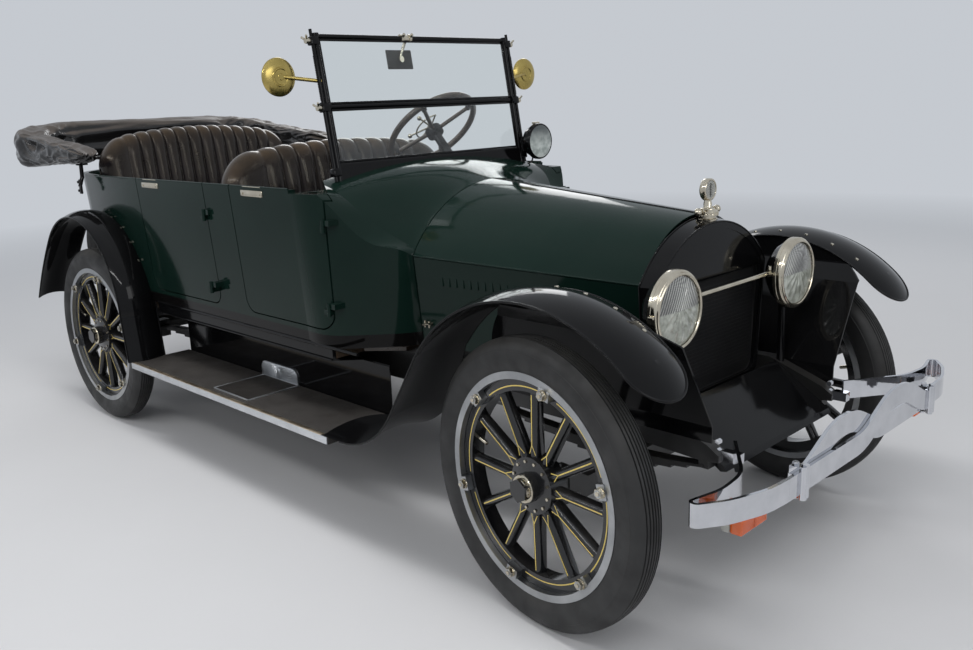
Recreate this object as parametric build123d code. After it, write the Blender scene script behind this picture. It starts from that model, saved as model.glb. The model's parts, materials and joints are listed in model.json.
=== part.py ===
from build123d import *
import os
from math import cos, radians, sin, sqrt, tan

# Six-cylinder touring car of the brass era, in millimetres.
# X runs forward, Y to the car's left, Z up; the origin is on the floor under the middle of its box.
# Places along the car are given as distances ahead of the rear axle and turned into X by at().

# Overall
wheelbase = 2921.0
half_track = 711.0
tail_reach = 1000.0
nose_reach = wheelbase + 654
rear_axle_x = -(nose_reach - tail_reach) / 2

# Tyres and wheels
tyre_radius = 432.0
tyre_half_width = 54.0
tread_half_width = 30.0
bead_radius = 326.0
rim_half_width = 42.0
felloe_radius = 306.0
felloe_depth = 38.0
felloe_half_width = 24.0
spoke_count = 12
spoke_root_radius = 24.0
spoke_tip_radius = 16.0
hub_radius = 44.0
hub_flange_radius = 84.0
hub_flange_half = 30.0
hub_cap_reach = 82.0
hub_cap_radius = 36.0
lug_count = 6
lug_width = 44.0
brake_drum_radius = 165.0
brake_drum_width = 58.0

# Steering
kingpin_y = 620.0
rest_turn = -5.8
knuckle_arm = 150.0
tie_rod_radius = 14.0
spindle_radius = 17.0
running_gap = 0.4

# Frame and axles
rail_outer_y = 375.0
rail_width = 45.0
rail_bottom = 490.0
rail_top = 600.0
rear_rail_outer_y = 470.0
rail_rear = -640.0
horn_front = wheelbase + 369
axle_beam_z = 372.0
axle_beam_height = 64.0
axle_beam_width = 50.0
spring_width = 44.0
rear_spring_y = 447.5
axle_tube_radius = 38.0

# Body
body_bottom = 640.0
rail_height = 1215.0
body_half_bottom = 647.0
body_taper = 4.0
wall = 30.0
cowl_rear = 1712.0
hood_rear = 2070.0
hood_front = wheelbase + 53
panel_gap = 6.0
door_gap = 5.0
door_inner_y = body_half_bottom - 38
door_bottom = 712.0
door_top_drop = 13.0
door_corner = 55.0
front_door_rear = 1300.0
front_door_front = 1862.0
rear_door_rear = 489.0
rear_door_front = 1088.0
hinge_radius = 8.0
hinge_stand = 6.0
hinge_heights = (790.0, 1090.0)

# Hood
hood_sheet = 4.0
hood_bottom = 640.0
hood_rear_half = 424.0
hood_rear_shoulder = 972.0
hood_rear_crown = 1211.0
hood_front_half = 302.0
hood_front_shoulder = 945.0
hood_front_crown = 1129.0
hood_side_lean = 30.0
hinge_rod_radius = 5.0
bead_rod_radius = 4.0
louvre_count = 11
louvre_first = 2193.0
louvre_pitch = 31.0
louvre_z = 887.0

# Radiator
shell_rear = wheelbase + 59
shell_depth = 58.0
shell_half_top = 325.0
shell_half_bottom = 296.0
shell_shoulder = 945.0
shell_crown = 1117.0
shell_bottom = 545.0
shell_frame = 34.0
tank_depth = 24.0
tank_bottom = 930.0

# Lamps
lamp_x = wheelbase + 215
lamp_y = 352.0
lamp_z = 898.0
lamp_rim_radius = 119.0
lamp_depth = 95.0
spot_x = 1818.0
spot_y = 540.0
spot_z = rail_height + 103
spot_wire_radius = 3.5

# Fenders
fender_outer_y = 810.0
front_fender_width = 220.0
front_fender_crown = 22.0
front_fender_radius = 520.0
fender_arc_rear = -55.0
fender_arc_front = 42.0
rear_fender_width = 178.0
rear_fender_crown = 28.0
rear_fender_radius = 436.0
fender_sheet = 4.0
board_top = 375.0
board_thickness = 26.0
board_inner_y = 505.0
board_outer_y = 795.0
board_rear = 442.0
board_front = wheelbase - 924


def at(ahead):
    return rear_axle_x + ahead


def block(x0, x1, y0, y1, z0, z1):
    middle = Pos((x0 + x1) / 2, (y0 + y1) / 2, (z0 + z1) / 2)
    return middle * Box(x1 - x0, y1 - y0, z1 - z0)


def rod(start, end, radius):
    run = Vector(*end) - Vector(*start)
    return extrude(Plane(origin=start, z_dir=run) * Circle(radius), amount=run.length)


def pair(shape):
    # The shape and its mirror image across the car's middle plane.
    return [shape, mirror(shape, about=Plane.XZ)]


def side_prism(points, y0, y1):
    # A flat outline of (x, z) points, pulled from y0 to y1.
    outline = make_face(Polyline(*points, close=True))
    return extrude(Plane.XZ.offset(-y1) * outline, amount=y1 - y0)


def front_prism(points, x0, x1):
    # A flat outline of (y, z) points, pulled from x0 to x1.
    outline = make_face(Polyline(*points, close=True))
    return extrude(Plane.YZ.offset(x0) * outline, amount=x1 - x0)


def turned(points, spot, axis):
    # A solid of revolution from (distance along axis, radius) points.
    outline = Polyline(*points, close=True)
    way = Vector(*axis)
    across = Vector(0, 0, 1)
    plane = Plane(origin=spot, x_dir=way, z_dir=way.cross(across))
    return revolve(plane * make_face(outline), Axis(Vector(*spot), way))


def fuse(first, *others):
    result = first
    for other in others:
        result = result + other
    return result


def arc_about(middle, radius, start, end, y):
    # An arc in a side view; the angles run from straight up towards the nose.
    def spot(angle):
        turn = radians(angle)
        return (middle[0] + radius * sin(turn), y, middle[1] + radius * cos(turn))
    return ThreePointArc(spot(start), spot((start + end) / 2), spot(end))


# Wheels and tyres

def tyre():
    # Stands about the Y axis, with its tread, sidewalls and beads as straight facets and two arcs.
    low = bead_radius
    mid = bead_radius + 58
    bead = rim_half_width - 4
    outline = [
        Line((-bead, low), (bead, low)),
        Line((bead, low), (bead, low + 12)),
        ThreePointArc((bead, low + 12), (tyre_half_width, mid), (tread_half_width, tyre_radius - 5)),
        ThreePointArc((tread_half_width, tyre_radius - 5), (0, tyre_radius),
                      (-tread_half_width, tyre_radius - 5)),
        ThreePointArc((-tread_half_width, tyre_radius - 5), (-tyre_half_width, mid), (-bead, low + 12)),
        Line((-bead, low + 12), (-bead, low)),
    ]
    face = make_face(outline)
    plane = Plane(origin=(0, 0, 0), x_dir=(0, 1, 0), z_dir=(1, 0, 0))
    return revolve(plane * face, Axis.Y)


def rim():
    # The demountable steel rim.
    base = bead_radius - 12
    lip = bead_radius + 10
    half = rim_half_width + 3
    points = [(-half, base), (half, base), (half, lip), (half - 6, lip), (half - 6, bead_radius),
              (6 - half, bead_radius), (6 - half, lip), (-half, lip)]
    return turned(points, (0, 0, 0), (0, 1, 0))


def wheel(sign, drum):
    # One wood wheel about the Y axis: hub, spokes, felloe, steel rim and lugs; sign points outward.
    felloe_outer = bead_radius - 12
    body = turned([(-felloe_half_width, felloe_outer - felloe_depth), (felloe_half_width, felloe_outer - felloe_depth),
                   (felloe_half_width, felloe_outer + 1), (-felloe_half_width, felloe_outer + 1)],
                  (0, 0, 0), (0, 1, 0))
    body += rim()
    bore = spindle_radius + running_gap
    hub = turned([(-44, bore), (hub_cap_reach - 20, bore), (hub_cap_reach - 20, hub_radius), (36, hub_radius),
                  (hub_flange_half, hub_flange_radius), (-hub_flange_half, hub_flange_radius),
                  (-36, hub_radius + 8), (-44, hub_radius + 8)], (0, 0, 0), (0, sign, 0))
    cap = extrude(Plane(origin=(0, sign * (hub_cap_reach - 20), 0), z_dir=(0, sign, 0))
                  * RegularPolygon(hub_cap_radius, 6), amount=20)
    body += hub
    body += cap
    for number in range(spoke_count):
        turn = 360 / spoke_count * number
        tip = felloe_outer - felloe_depth + 4
        root = hub_radius + 10
        spoke = loft([Plane.XY.offset(root) * Ellipse(spoke_root_radius * 0.62, spoke_root_radius),
                      Plane.XY.offset(tip) * Ellipse(spoke_tip_radius, spoke_tip_radius * 1.2)])
        body += Rot(0, turn, 0) * spoke
    for number in range(lug_count):
        turn = 360 / lug_count * number + 15
        y0 = sign * (felloe_half_width - 1)
        y1 = sign * (rim_half_width + 6)
        lug = block(-lug_width / 2, lug_width / 2, min(y0, y1), max(y0, y1), felloe_outer - 26, bead_radius - 10)
        nut = rod((0, y0, felloe_outer - 12), (0, sign * (rim_half_width + 20), felloe_outer - 12), 11)
        body += Rot(0, turn, 0) * (lug + nut)
    if drum:
        side = -sign
        inner = felloe_half_width + 14
        body += turned([(hub_flange_half - 4, hub_radius), (inner, hub_radius), (inner + brake_drum_width, brake_drum_radius - 8),
                        (inner + brake_drum_width, brake_drum_radius), (hub_flange_half - 4, brake_drum_radius)],
                       (0, 0, 0), (0, side, 0))
    return body


def placed(shape, x, y):
    return Pos(x, y, tyre_radius) * shape


def steered(shape, side):
    # Turns a front piece about its kingpin to the angle at which the car stands.
    x = at(wheelbase)
    y = side * kingpin_y
    return Pos(x, y, 0) * Rot(0, 0, rest_turn) * Pos(-x, -y, 0) * shape


# Frame, axles and springs

def chassis_frame():
    rear_x = at(rail_rear)
    split_x = at(1200)
    front_x = at(2350)
    horn_x = at(horn_front)
    low, high = rail_bottom, rail_top
    lift = 70
    rear = side_prism([(rear_x, low + lift), (rear_x, high), (split_x, high), (split_x, low), (at(620), low),
                       (at(380), low + lift)], rear_rail_outer_y - rail_width, rear_rail_outer_y)
    middle = make_face(Polyline((split_x, rear_rail_outer_y), (front_x, rail_outer_y),
                                (front_x, rail_outer_y - rail_width),
                                (split_x, rear_rail_outer_y - rail_width), close=True))
    taper = extrude(Plane.XY.offset(low) * middle, amount=high - low)
    front = side_prism([(front_x, low), (front_x, high), (horn_x - 230, high), (horn_x - 40, low + 40),
                        (horn_x, low + 15), (horn_x, low - 6), (horn_x - 50, low - 12), (horn_x - 290, low)],
                       rail_outer_y - rail_width, rail_outer_y)
    rails = rear + taper + front
    frame = fuse(rails, mirror(rails, about=Plane.XZ))
    # columns: distance ahead of the rear axle, half length, height of the middle
    for ahead, half, z in ((-610, rear_rail_outer_y - 20, high - 18), (500, rear_rail_outer_y - 20, high - 25),
                           (1330, rear_rail_outer_y - 40, high - 25), (horn_front - 240, rail_outer_y - 20, low + 30)):
        frame += block(at(ahead) - 30, at(ahead) + 30, -half, half, z - 25, z + 25 if ahead > 0 else high)
    return frame


def front_axle():
    x = at(wheelbase)
    half = axle_beam_width / 2
    z0 = axle_beam_z - axle_beam_height / 2
    z1 = z0 + axle_beam_height
    y = kingpin_y
    beam = front_prism([(-y + 75, z0), (y - 75, z0), (y - 44, z0 + 30), (y - 5, z0 + 30), (y - 5, z1 + 30),
                        (y - 40, z1 + 30), (y - 90, z1), (-y + 90, z1), (-y + 40, z1 + 30), (-y + 5, z1 + 30),
                        (-y + 5, z0 + 30), (-y + 44, z0 + 30)], x - half, x + half)
    for side in (1, -1):
        beam += rod((x, side * y, z0 + 30), (x, side * y, z1 + 30), 22)
        beam -= rod((x, side * y, z0 - 10), (x, side * y, z1 + 60), 12 + running_gap)
    return beam


def knuckle(side):
    # The forked knuckle round the axle end, with its spindle and rearward arm, built straight ahead.
    x = at(wheelbase)
    y = side * kingpin_y
    top = axle_beam_z + axle_beam_height / 2 + 30
    low = axle_beam_z - axle_beam_height / 2 + 30
    plate_y0 = kingpin_y + 28
    body = block(x - 28, x + 28, plate_y0, plate_y0 + 13, low - 22, tyre_radius + 50)
    body += block(x - 26, x + 26, kingpin_y - 24, plate_y0 + 4, top + 1, top + 22)
    body += block(x - 26, x + 26, kingpin_y - 24, plate_y0 + 4, low - 22, low - 1)
    body += rod((x, kingpin_y, low - 22), (x, kingpin_y, top + 22), 12)
    body += rod((x, plate_y0 + 10, tyre_radius), (x, half_track + hub_cap_reach - 26, tyre_radius), spindle_radius)
    arm_z = low - 14
    body += block(x - knuckle_arm, x - 10, kingpin_y - 14, kingpin_y + 14, arm_z - 8, arm_z + 8)
    body += rod((x - knuckle_arm, kingpin_y, arm_z - 8), (x - knuckle_arm, kingpin_y, arm_z + 8), 22)
    body -= rod((x - knuckle_arm, kingpin_y, arm_z - 20), (x - knuckle_arm, kingpin_y, arm_z + 20), 9 + running_gap)
    if side < 0:
        body = mirror(body, about=Plane.XZ)
    return steered(body, side)


def arm_eye(side):
    # Where the end of a knuckle's arm stands, with the wheels turned as they rest.
    turn = radians(rest_turn)
    return (at(wheelbase) - knuckle_arm * cos(turn), side * kingpin_y - knuckle_arm * sin(turn))


def tie_rod():
    low = axle_beam_z - axle_beam_height / 2 + 30
    z = low - 14 - 8 - 1 - tie_rod_radius - 2
    ends = [arm_eye(-1), arm_eye(1)]
    shape = rod((ends[0][0], ends[0][1], z), (ends[1][0], ends[1][1], z), tie_rod_radius)
    for x, y in ends:
        shape += rod((x, y, z - tie_rod_radius - 2), (x, y, z + tie_rod_radius + 2), 20)
        shape += rod((x, y, z), (x, y, z + tie_rod_radius + 26), 9)
    return shape


def spring_pack(x0, z0, x1, z1, x2, z2, y, width, leaves, leaf, reach):
    # Leaves under one another, each shorter than the last, bowed from both ends to the clamp at (x1, z1).
    def top(x):
        end_x, end_z = (x0, z0) if x < x1 else (x2, z2)
        return z1 + (end_z - z1) * ((x - x1) / (end_x - x1)) ** 2

    steps_rear, steps_front = [], []
    for number in range(leaves):
        share = 1 - reach * number
        for end_x, steps in ((x0, steps_rear), (x2, steps_front)):
            x = x1 + (end_x - x1) * share
            steps += [(x, top(x) - leaf * number), (x, top(x) - leaf * (number + 1))]
    upper = [(x, top(x)) for x, z in steps_front[::2]] + [(x1, z1)] + [(x, top(x)) for x, z in reversed(steps_rear[::2])]
    return side_prism(upper + steps_rear[1:] + list(reversed(steps_front))[:-1], y - width / 2, y + width / 2)


def front_spring():
    # A half-elliptic spring from a hanger behind the axle to the frame horn, clamped on the axle beam.
    y = rail_outer_y - rail_width / 2
    leaf, leaves = 8, 5
    seat_z = axle_beam_z + axle_beam_height / 2 + leaf * leaves + 0.6
    rear_x, front_x = at(wheelbase - 451), at(horn_front - 50)
    end_z = rail_bottom - 24
    spring = spring_pack(rear_x, end_z, at(wheelbase), seat_z, front_x, end_z, y, spring_width, leaves, leaf, 0.17)
    spring += block(rear_x - 18, rear_x + 18, y - 20, y + 20, end_z - 10, rail_bottom)
    spring += block(front_x - 16, front_x + 16, y - 20, y + 20, end_z - 10, rail_bottom - 12)
    return spring


def rear_spring():
    # A cantilever spring: held under the frame at its middle and front, carrying the axle at its rear end.
    leaf = 9
    y = rear_spring_y
    z = rail_bottom - 30
    pack = spring_pack(at(1130), z - 20, at(640), z, at(60), z - 40, y, spring_width, 5, leaf, 0.16)
    seat = block(at(640) - 50, at(640) + 50, y - 22, y + 22, z - 56, rail_bottom)
    hanger = block(at(1130) - 16, at(1130) + 16, y - 22, y + 22, z - 40, rail_bottom)
    perch = block(at(-56), at(84), y - 30, y + 30, tyre_radius - 56, tyre_radius + 30)
    axle = rod((rear_axle_x, 0, tyre_radius), (rear_axle_x, rear_spring_y * 2, tyre_radius), axle_tube_radius)
    return fuse(pack, seat, hanger, perch) - axle


def rear_axle():
    x = rear_axle_x
    end = half_track - 60 - 30
    tube = rod((x, -end, tyre_radius), (x, end, tyre_radius), axle_tube_radius)
    housing = turned([(-150, 0), (-150, 62), (-80, 130), (80, 130), (150, 62), (150, 0)],
                     (x, 0, tyre_radius), (0, 1, 0))
    plate = half_track - felloe_half_width - 14 - brake_drum_width - 6
    shape = tube + housing
    for side in (1, -1):
        shape += rod((x, side * plate, tyre_radius), (x, side * (plate - 6), tyre_radius), brake_drum_radius - 10)
        shape += rod((x, side * (plate - 2), tyre_radius),
                     (x, side * (half_track + hub_cap_reach - 26), tyre_radius), spindle_radius)
    return shape


# Engine and running gear under the floor

def engine_block():
    engine = block(at(2190), at(hood_front - 94), -150, 150, 440, 960)
    for ahead, half in ((2210, 336), (hood_front - 184, rail_outer_y - rail_width)):
        engine += block(at(ahead), at(ahead) + 50, -half, half, rail_bottom + 70, rail_top - 10)
    return engine


def transmission():
    box = block(at(1700), at(2190), -120, 120, 400, rail_top - 2)
    tube = rod((at(1701), 0, 500), (at(120), 0, tyre_radius + 6), 45)
    return box + tube - rear_axle()


def exhaust():
    down = rod((at(2300), -152, 560), (at(2300), -215, 430), 26)
    pipe = rod((at(2300), -215, 430), (at(1250), -215, 420), 26)
    can = rod((at(1251), -215, 420), (at(560), -215, 420), 70)
    tail = rod((at(561), -215, 420), (at(200), -300, 400), 22)
    return fuse(pipe, can, tail, down) - engine_block()


def fuel_tank():
    return rod((at(-500), -462, 440), (at(-500), 462, 440), 120)


# Body

def plan_outline(grow):
    # Half outlines of the body at its bottom edge, joined at the tail; grow moves it outward.
    half = body_half_bottom + grow
    back = -595 - grow
    corner_x = -545 - grow
    corner_y = 255 + grow
    quarter_x = -200
    quarter_y = 592 + grow
    start = at(cowl_rear)
    side = Line((start, half), (at(500), half))
    sweep_in = TangentArc((at(500), half), (at(quarter_x), quarter_y), tangent=(-1, 0))
    corner = TangentArc((at(quarter_x), quarter_y), (at(corner_x), corner_y), tangent=sweep_in % 1)
    tail = ThreePointArc((at(corner_x), corner_y), (at(back), 0), (at(corner_x), -corner_y))
    right = [mirror(edge, about=Plane.XZ) for edge in (corner, sweep_in, side)]
    close = Line((start, -half), (start, half))
    return make_face([side, sweep_in, corner, tail] + right + [close])


def tub_solid(grow, z0, z1):
    # The body's tapered outside, or its inside when grow is negative.
    shift = tan(radians(body_taper)) * (z0 - body_bottom)
    face = plan_outline(grow + shift)
    whole = extrude(Plane.XY.offset(z0) * face, amount=z1 - z0, taper=-body_taper)
    return whole & block(at(-800), at(cowl_rear), -800, 800, z0 - 1, z1 + 1)


def cowl_section(ahead, bottom, edge, edge_z, inner, inner_z, crown_z, shrink, z0):
    # The side rises to an outer edge, a shelf leads in from it, and the dome stands on the shelf.
    b, e, r = bottom - shrink, edge - shrink, inner - shrink
    ze, zr, zc = edge_z - shrink * 0.6, inner_z - shrink, crown_z - shrink
    edges = [Line((-b, z0), (b, z0)), Line((b, z0), (e, ze)), Line((e, ze), (r, zr)),
             ThreePointArc((r, zr), (0, zc), (-r, zr)), Line((-r, zr), (-e, ze)), Line((-e, ze), (-b, z0))]
    return Plane.YZ.offset(at(ahead)) * make_face(edges)


def cowl_solid(shrink, z0, spread):
    half, rail = body_half_bottom, rail_height
    hood_low = hood_rear_half - hood_side_lean
    flare = tan(radians(body_taper)) * (rail - body_bottom - 7)
    # columns: distance ahead, half width at the bottom, outer edge and its height, inner line and its height, crown
    table = [
        (cowl_rear - 120, half, half + flare, rail - 7, half - 87, rail + 14, rail + 73),
        (cowl_rear, half, half + flare, rail - 7, half - 87, rail + 14, rail + 73),
        (cowl_rear + 138, half - 9, half + 7, rail - 18, half - 103, rail - 34, rail + 54),
        (cowl_rear + 192, half - 46, half - 42, rail - 99, half - 129, rail - 84, rail + 42),
        (hood_rear - 105, hood_low + 144, hood_rear_half + 121, hood_rear_shoulder + 60,
         hood_rear_half + 41, hood_rear_shoulder + 92, hood_rear_crown + 29),
        (hood_rear + spread, hood_low, hood_rear_half, hood_rear_shoulder,
         hood_rear_half - 11, hood_rear_shoulder + 16, hood_rear_crown),
    ]
    whole = loft([cowl_section(*row, shrink, z0) for row in table])
    return whole & block(at(cowl_rear) - spread, at(hood_rear) + spread + 1, -800, 800, z0 - 1, rail + 200)


def cockpit_corner(side):
    # What is cut from the cowl's roof beside the windshield, where the opening runs on to the door's front edge.
    inner, outer = body_half_bottom - 127, body_half_bottom + 150
    tip = body_half_bottom - 27
    plan = [(at(cowl_rear) - 20, side * inner), (at(cowl_rear) - 20, side * outer),
            (at(front_door_front) + 4, side * outer), (at(front_door_front) + 4, side * tip)]
    return extrude(Plane.XY.offset(rail_height - door_top_drop) * make_face(Polyline(*plan, close=True)), amount=160)


def door_face(rear, front, grow):
    # The outline of a door in side view, with its lower corners rounded.
    rear_x, front_x = at(rear) - grow, at(front) + grow
    low = door_bottom - grow
    top = rail_height + 60
    points = [(rear_x, low), (front_x, low), (front_x, top), (rear_x, top)]
    if front > cowl_rear:
        cut = rail_height - door_top_drop + grow
        cowl_x = at(cowl_rear) + grow
        points = [(rear_x, low), (front_x, low), (front_x, cut), (cowl_x, cut), (cowl_x, top), (rear_x, top)]
    face = make_face(Polyline(*points, close=True))
    corners = [v for v in face.vertices() if abs(v.Y - low) < 1]
    return fillet(corners, door_corner + grow)


def door_prism(rear, front, grow, y0, y1):
    return extrude(Plane.XZ.offset(-y1) * door_face(rear, front, grow), amount=y1 - y0)


def body_shell():
    outer = tub_solid(0, body_bottom, rail_height)
    inner = tub_solid(-wall, body_bottom - 5, rail_height + 5)
    return outer - inner


def door_hinge_spot(front):
    flare = tan(radians(body_taper)) * (rail_height - body_bottom)
    if front > cowl_rear:
        return at(front) + door_gap / 2, body_half_bottom + 2 + hinge_stand
    return at(front) + door_gap / 2, body_half_bottom + flare + hinge_stand


def door_barrels(front, z, on_door):
    # One hinge: the door's barrel below, the post's barrel above it, each with a leaf to its own panel.
    x, y = door_hinge_spot(front)
    door_depth, post_depth = 50, 70
    if on_door:
        barrel = rod((x, y, z - 24), (x, y, z), hinge_radius)
        leaf = block(x - 34, x, y - door_depth, y - 1, z - 22, z - 2)
        return barrel + leaf
    barrel = rod((x, y, z + 0.4), (x, y, z + 24), hinge_radius)
    leaf = block(x, x + 34, y - post_depth, y - 1, z + 2, z + 22)
    return barrel + leaf


# Hood


def hood_top_outline(half, shoulder, crown):
    # Half of a hood top from the hinge at the ridge to the shoulder, as a thin crescent.
    start_y = hinge_rod_radius + 0.1
    radius = ((crown - shoulder) ** 2 + half ** 2) / (2 * (crown - shoulder))
    middle = crown - radius

    def on(y, inset):
        return middle + sqrt((radius - inset) ** 2 - y ** 2)

    def curve(inset):
        end = half - inset * 0.5
        return ThreePointArc((start_y, on(start_y, inset)), (end * 0.55, on(end * 0.55, inset)), (end, on(end, inset)))
    outer, inner = curve(0), curve(hood_sheet)
    return make_face([outer, Line(outer @ 1, inner @ 1), inner, Line(inner @ 0, outer @ 0)])


def hood_top(side):
    x0, x1 = at(hood_rear) + panel_gap, at(hood_front)
    rear = Plane.YZ.offset(x0) * hood_top_outline(hood_rear_half, hood_rear_shoulder + 2, hood_rear_crown)
    front = Plane.YZ.offset(x1) * hood_top_outline(hood_front_half, hood_front_shoulder + 2, hood_front_crown)
    half = loft([rear, front])
    half += rod((x0, hood_rear_half - 2, hood_rear_shoulder), (x1, hood_front_half - 2, hood_front_shoulder),
                bead_rod_radius)
    return half if side > 0 else mirror(half, about=Plane.XZ)


def hood_side(side):
    x0, x1 = at(hood_rear) + panel_gap, at(hood_front)
    faces = []
    for x, half, shoulder in ((x0, hood_rear_half, hood_rear_shoulder), (x1, hood_front_half, hood_front_shoulder)):
        low = half - hood_side_lean
        top = shoulder - bead_rod_radius - 0.4
        points = [(half, top), (half - hood_sheet, top), (low - hood_sheet, hood_bottom), (low, hood_bottom)]
        faces.append(Plane.YZ.offset(x) * make_face(Polyline(*points, close=True)))
    panel = loft(faces)
    slope = (hood_rear_half - hood_front_half) / (hood_front - hood_rear)
    for number in range(louvre_count):
        ahead = louvre_first + louvre_pitch * number
        drop = (hood_rear_shoulder - louvre_z) / (hood_rear_shoulder - hood_bottom) * hood_side_lean
        y = hood_rear_half - slope * (ahead - hood_rear) - drop
        lip = Pos(at(ahead), y - 1, louvre_z) * Box(14, 9, 30)
        panel += lip
    return panel if side > 0 else mirror(panel, about=Plane.XZ)


def hood_hinge():
    start = (at(hood_rear) + 0.8, 0, hood_rear_crown - 2)
    end = (at(shell_rear), 0, hood_front_crown - 2)
    return rod(start, end, hinge_rod_radius)


# Radiator

def radiator_outline(shrink, low):
    top = shell_crown - shrink
    half_top, half_low = shell_half_top - shrink, shell_half_bottom - shrink
    shoulder = shell_shoulder
    corner = 60 - min(shrink, 20)
    edges = [
        Line((-half_low + corner, low), (half_low - corner, low)),
        ThreePointArc((half_low - corner, low), (half_low - corner * 0.293, low + corner * 0.293),
                      (half_low, low + corner)),
        Line((half_low, low + corner), (half_top, shoulder)),
        ThreePointArc((half_top, shoulder), (0, top), (-half_top, shoulder)),
        Line((-half_top, shoulder), (-half_low, low + corner)),
        ThreePointArc((-half_low, low + corner), (-half_low + corner * 0.293, low + corner * 0.293),
                      (-half_low + corner, low)),
    ]
    return make_face(edges)


def radiator_shell():
    x0 = at(shell_rear)
    outer = loft([Plane.YZ.offset(x0) * radiator_outline(0, shell_bottom),
                  Plane.YZ.offset(x0 + shell_depth) * radiator_outline(10, shell_bottom + 4)])
    hole = extrude(Plane.YZ.offset(x0 - 5) * radiator_outline(shell_frame, shell_bottom + 24),
                   amount=shell_depth + 10)
    tank = extrude(Plane.YZ.offset(x0 + shell_depth - tank_depth) * radiator_outline(shell_frame - 1, shell_bottom + 23),
                   amount=tank_depth - 3)
    tank = tank & block(x0, x0 + shell_depth, -400, 400, tank_bottom, shell_crown)
    return (outer - hole) + tank


def radiator_core():
    x0 = at(shell_rear)
    core = extrude(Plane.YZ.offset(x0 - 50) * radiator_outline(shell_frame + 0.3, shell_bottom + 24.3),
                   amount=shell_depth + 50 - 12)
    tank_x = x0 + shell_depth - tank_depth - 0.3
    return core - block(tank_x, x0 + shell_depth, -400, 400, tank_bottom - 0.3, shell_crown)


def upright(points, x, y, z):
    # A solid of revolution about a vertical line, from (radius, height) points.
    face = make_face(Polyline(*points, close=True))
    return Pos(x, y, z) * revolve(Plane.XZ * face, Axis.Z)


def radiator_cap():
    x = at(shell_rear) + 28
    z = shell_crown - 4
    cap = upright([(0, -16), (26, -16), (26, 12), (30, 14), (30, 24), (22, 30), (12, 34), (9, 62), (0, 62)], x, 0, z)
    wings = rod((x, -52, z + 26), (x, 52, z + 26), 7)
    for side in (1, -1):
        wings += Pos(x, side * 54, z + 27) * Sphere(11)
    dial = rod((x - 9, 0, z + 92), (x + 9, 0, z + 92), 33)
    return fuse(cap, wings, dial) - radiator_shell() - hood_hinge()


# Lamps

def headlamp(side):
    x, y, z = at(lamp_x), side * lamp_y, lamp_z
    r = lamp_rim_radius
    outer = [(-lamp_depth, 0), (-lamp_depth, 30), (-lamp_depth + 14, 62), (-lamp_depth + 40, 94), (-30, r - 8),
             (-22, r), (0, r), (6, r - 8), (6, r - 17), (-16, r - 17), (-34, r - 26), (-lamp_depth + 44, 84),
             (-lamp_depth + 22, 54), (-lamp_depth + 12, 0)]
    bucket = turned(outer, (x, y, z), (1, 0, 0))
    post = rod((x - 46, y, rail_top - 30), (x - 46, y, z - 92), 13)
    return bucket + (post - chassis_frame())


def headlamps():
    lamps = headlamp(1) + headlamp(-1)
    x = at(lamp_x) - 40
    bar = rod((x, -lamp_y + 100, lamp_z + 12), (x, lamp_y - 100, lamp_z + 12), 7)
    return lamps + bar


def headlamp_lenses():
    lenses = []
    for side in (1, -1):
        points = [(-9, 0), (-9, lamp_rim_radius - 17.3), (3, lamp_rim_radius - 17.3), (8, 60), (10, 0)]
        lenses.append(turned(points, (at(lamp_x), side * lamp_y, lamp_z), (1, 0, 0)))
    return lenses


def spot_lamp():
    x, y, z = at(spot_x), spot_y, spot_z
    bowl = turned([(-62, 0), (-62, 24), (-34, 62), (-6, 74), (12, 76), (16, 70), (16, 0)], (x, y, z), (1, 0, 0))
    arm = rod((x - 20, y - 4, z + 10), (at(shield_foot_x - 13), shield_half + 22, z + 12), 10)
    return bowl + arm


def spot_lamp_wire():
    # A covered wire hangs from under the lamp and goes into the cowl beside the windshield.
    x, y, z = at(spot_x) - 32, spot_y, spot_z - 62.6
    route = [(x, y, z), (x, y, z - 20), (x - 3, y - 20, z - 32), (x - 8, y - 46, z - 30), (x - 12, y - 62, z - 56)]
    path = FilletPolyline(*route, radius=8)
    wire = sweep(Plane(origin=route[0], z_dir=(0, 0, -1)) * Circle(spot_wire_radius), path=path)
    return wire - cowl_solid(0, body_bottom, 0) - spot_lamp()


def tail_lamp():
    # A small lamp and a blank plate on a bracket at the left end of the spare wheel's carrier.
    x0, x1 = at(-735), at(-723)
    bracket = block(x0, x1, 455.3, 560, 566, 590) + block(x0, x1, 520, 545, 566, 770)
    plate = block(x0 - 3, x0, 455.3, 655, 610, 720)
    lamp = turned([(0, 0), (0, 30), (12, 38), (60, 38), (66, 32), (68, 0)], (x0, 532, 770), (-1, 0, 0))
    return fuse(bracket, plate, lamp)


def driver_controls():
    # Gear and brake levers in the middle of the floor, and two pedals under the steering column.
    floor = rail_top + 15.3
    pieces = []
    for ahead, y in ((1690, 30), (1715, -35)):
        lever = rod((at(ahead), y, floor + 10), (at(ahead - 45), y, floor + 385), 8)
        boss = block(at(ahead) - 30, at(ahead) + 30, y - 22, y + 22, floor, floor + 24)
        pieces.append(fuse(lever, boss, Pos(at(ahead - 45), y, floor + 392) * Sphere(19)))
    for y in (steering_y - 70, steering_y + 20):
        stem = rod((at(1800), y, floor + 6), (at(1768), y, floor + 140), 8)
        foot = block(at(1800) - 20, at(1800) + 20, y - 14, y + 14, floor, floor + 14)
        pad = Pos(at(1764), y, floor + 155) * Rot(0, -20, 0) * Box(14, 70, 62)
        pieces.append(fuse(stem, foot, pad))
    return pieces


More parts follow.
